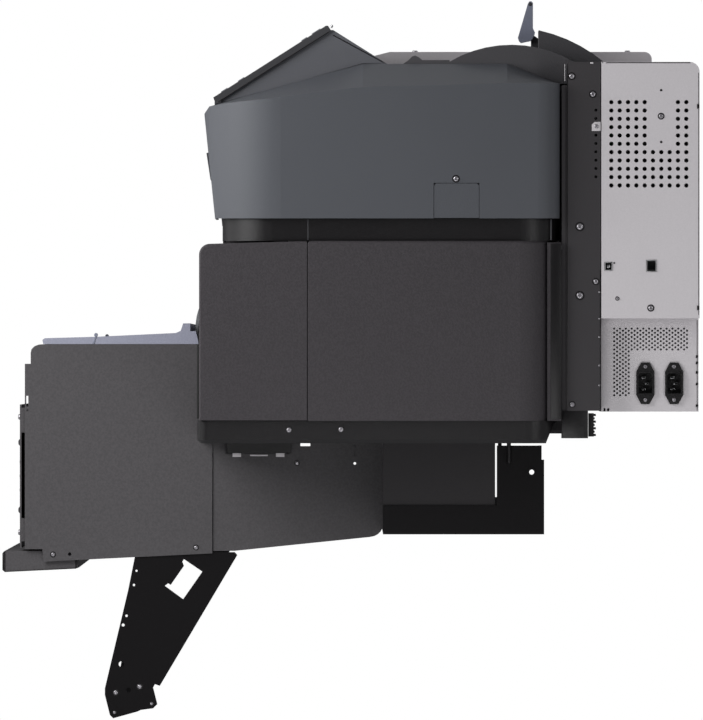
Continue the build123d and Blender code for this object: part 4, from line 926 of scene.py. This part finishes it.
# %% Lever pin and stem cover
lever_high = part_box("media_lever")[1]
work = bmesh.new()
place = (lever_high.x - 0.012, lever_high.y - 0.0135, lever_high.z - 0.0035)
pin = [(0.0022, 0.0), (0.0022, 0.0125), (0.0016, 0.0132), (0.0004, 0.0133)]
turned(work, place, (1, 0, 0), pin, 20)
stem = [(0.0824, 0.574), (0.0936, 0.574), (0.0936, 0.5978), (0.0824, 0.6058)]
prism(work, stem, 0, lever_high.x - 0.0105, lever_high.x - 0.0079, 0.0005)
finish_mesh("lever_pin", work, "dark_plastic", "media_lever")
print("panel and lever dressed")

# %% [markdown]
# ## Sheets seen from above, behind and in front
# A sheet nearly two metres long is never left plain: it buckles and drums. The deck is
# joined from three lengths with a cover strip over each joint. The rear sheets have
# pressed ribs and louvres for the air, and the dryer's front plate has two long beads.
# All of these are folds of the same sheet, so they take the same finish.

# %% Deck joints
JOINT_X = 0.2886
STRIP_HALF = 0.011
strip_front = deck_low.y + 0.021
strip_rear = deck_high.y - 0.012

work = bmesh.new()
joints = bmesh.new()
for x in (-JOINT_X, JOINT_X):
    near = (x - STRIP_HALF, strip_front, deck_high.z - 0.0004)
    brick(work, near, (x + STRIP_HALF, strip_rear, deck_high.z + 0.0012), 0.0005)
    for side in (-1, 1):
        edge_x = x + side * (STRIP_HALF + 0.0004)
        near = (edge_x - 0.0005, strip_front, deck_high.z - 0.0004)
        brick(joints, near, (edge_x + 0.0005, strip_rear, deck_high.z + 0.0003), 0.0001)
finish_mesh("deck_strips", work, "bright_sheet")
finish_mesh("deck_joints", joints, "black_plastic")

# %% The window's seal
window_low, window_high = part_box("front_window")
WINDOW = 0.003  # its thickness
SEAL = 0.0032
LAP = 0.0008
SEAL_UNDER = 0.0005
SEAL_OVER = 0.0014
rise = (window_high.z - window_low.z - WINDOW) / (window_high.y - window_low.y)


def seal_outline(front_y, rear_y):
    """The section of a seal strip that lies on the sloping window."""
    front_z = window_low.z + WINDOW + (front_y - window_low.y) * rise
    rear_z = window_low.z + WINDOW + (rear_y - window_low.y) * rise
    return [
        (front_y, front_z - SEAL_UNDER), (rear_y, rear_z - SEAL_UNDER),
        (rear_y, rear_z + SEAL_OVER), (front_y, front_z + SEAL_OVER),
    ]


work = bmesh.new()
front_edge = seal_outline(window_low.y - LAP, window_low.y + SEAL)
rear_edge = seal_outline(window_high.y - SEAL, window_high.y + LAP)
end_edge = seal_outline(window_low.y, window_high.y)
for outline in (front_edge, rear_edge):
    prism(work, outline, 0, window_low.x, window_high.x, 0.0006)
prism(work, end_edge, 0, window_low.x - LAP, window_low.x + SEAL, 0.0006)
prism(work, end_edge, 0, window_high.x - SEAL, window_high.x + LAP, 0.0006)
finish_mesh("window_seal", work, "belt_rubber", "front_cover")
print("deck joints and window seal placed")

# %% Ribs and louvres of the rear sheets
sheet = back_high.y
RIB_PITCH = 0.19
LOUVRE_PITCH = 0.0145
LOUVRE_HALF = 0.057
LOUVRE_LOWEST = 0.196
LOUVRES = 7

work = bmesh.new()
for i in range(-4, 5):
    x = RIB_PITCH * i
    section = [(x - 0.009, sheet - 0.0002), (x - 0.004, sheet + 0.0028)]
    section += [(x + 0.004, sheet + 0.0028), (x + 0.009, sheet - 0.0002)]
    for foot, head in ((0.176, 0.304), (0.446, 0.544)):
        prism(work, section, 2, foot, head, 0.0012, 3)
finish_mesh("rear_ribs", work, "dark_sheet")

louvre = [(-0.0002, 0.0), (-0.0002, 0.009), (0.0034, 0.0015), (0.003, 0.0)]
work = bmesh.new()
mouths = bmesh.new()
for x in (-0.665, -0.095, 0.095, 0.665):
    x0, x1 = x - LOUVRE_HALF, x + LOUVRE_HALF
    for i in range(LOUVRES):
        z = LOUVRE_LOWEST + LOUVRE_PITCH * i
        prism(work, around(sheet, z, louvre), 0, x0, x1, 0.0005)
        low, high = (sheet - 0.0002, z - 0.0022), (sheet + 0.0002, z + 0.0002)
        plate(mouths, x0 + 0.001, x1 - 0.001, low, high, 0.0001)
finish_mesh("rear_louvres", work, "dark_sheet")
finish_mesh("louvre_mouths", mouths, "black_plastic")

# %% Beads and slots of the dryer's front plate
plate_y = dryer_low.y
BEAD_END = 0.03
SLOT_PITCH = 0.068
SLOTS = 24
bead = [(0.0002, -0.005), (-0.0022, -0.002), (-0.0022, 0.002), (0.0002, 0.005)]


def slot_outline(x, z, half_length, half_width):
    """A slot's rectangle seen from the front."""
    low_x, high_x, low_z, high_z = x - half_length, x + half_length, z - half_width, z + half_width
    return [(low_x, low_z), (high_x, low_z), (high_x, high_z), (low_x, high_z)]


slot_places = [(-0.782 + SLOT_PITCH * i, z) for i in range(SLOTS) for z in (0.052, 0.069, 0.086)]
work = bmesh.new()
for z in (0.028, 0.110):
    section = around(plate_y, z, bead)
    prism(work, section, 0, dryer_low.x + BEAD_END, dryer_high.x - BEAD_END, 0.0008, 3)
slots_work = bmesh.new()
for x, z in slot_places:
    prism(work, slot_outline(x, z, 0.024, 0.0032), 1, plate_y - 0.0008, plate_y + 0.0004, 0.0007)
    prism(slots_work, slot_outline(x, z, 0.020, 0.0016), 1, plate_y - 0.0010, plate_y - 0.0004, 0.0002)
finish_mesh("dryer_beads", work, "panel_grey")
finish_mesh("dryer_slots", slots_work, "black_plastic")
print("long sheets dressed")

# %% [markdown]
# ## The finished model's box
# The box round the finished model is measured at the end.

# %% Finish
low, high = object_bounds()
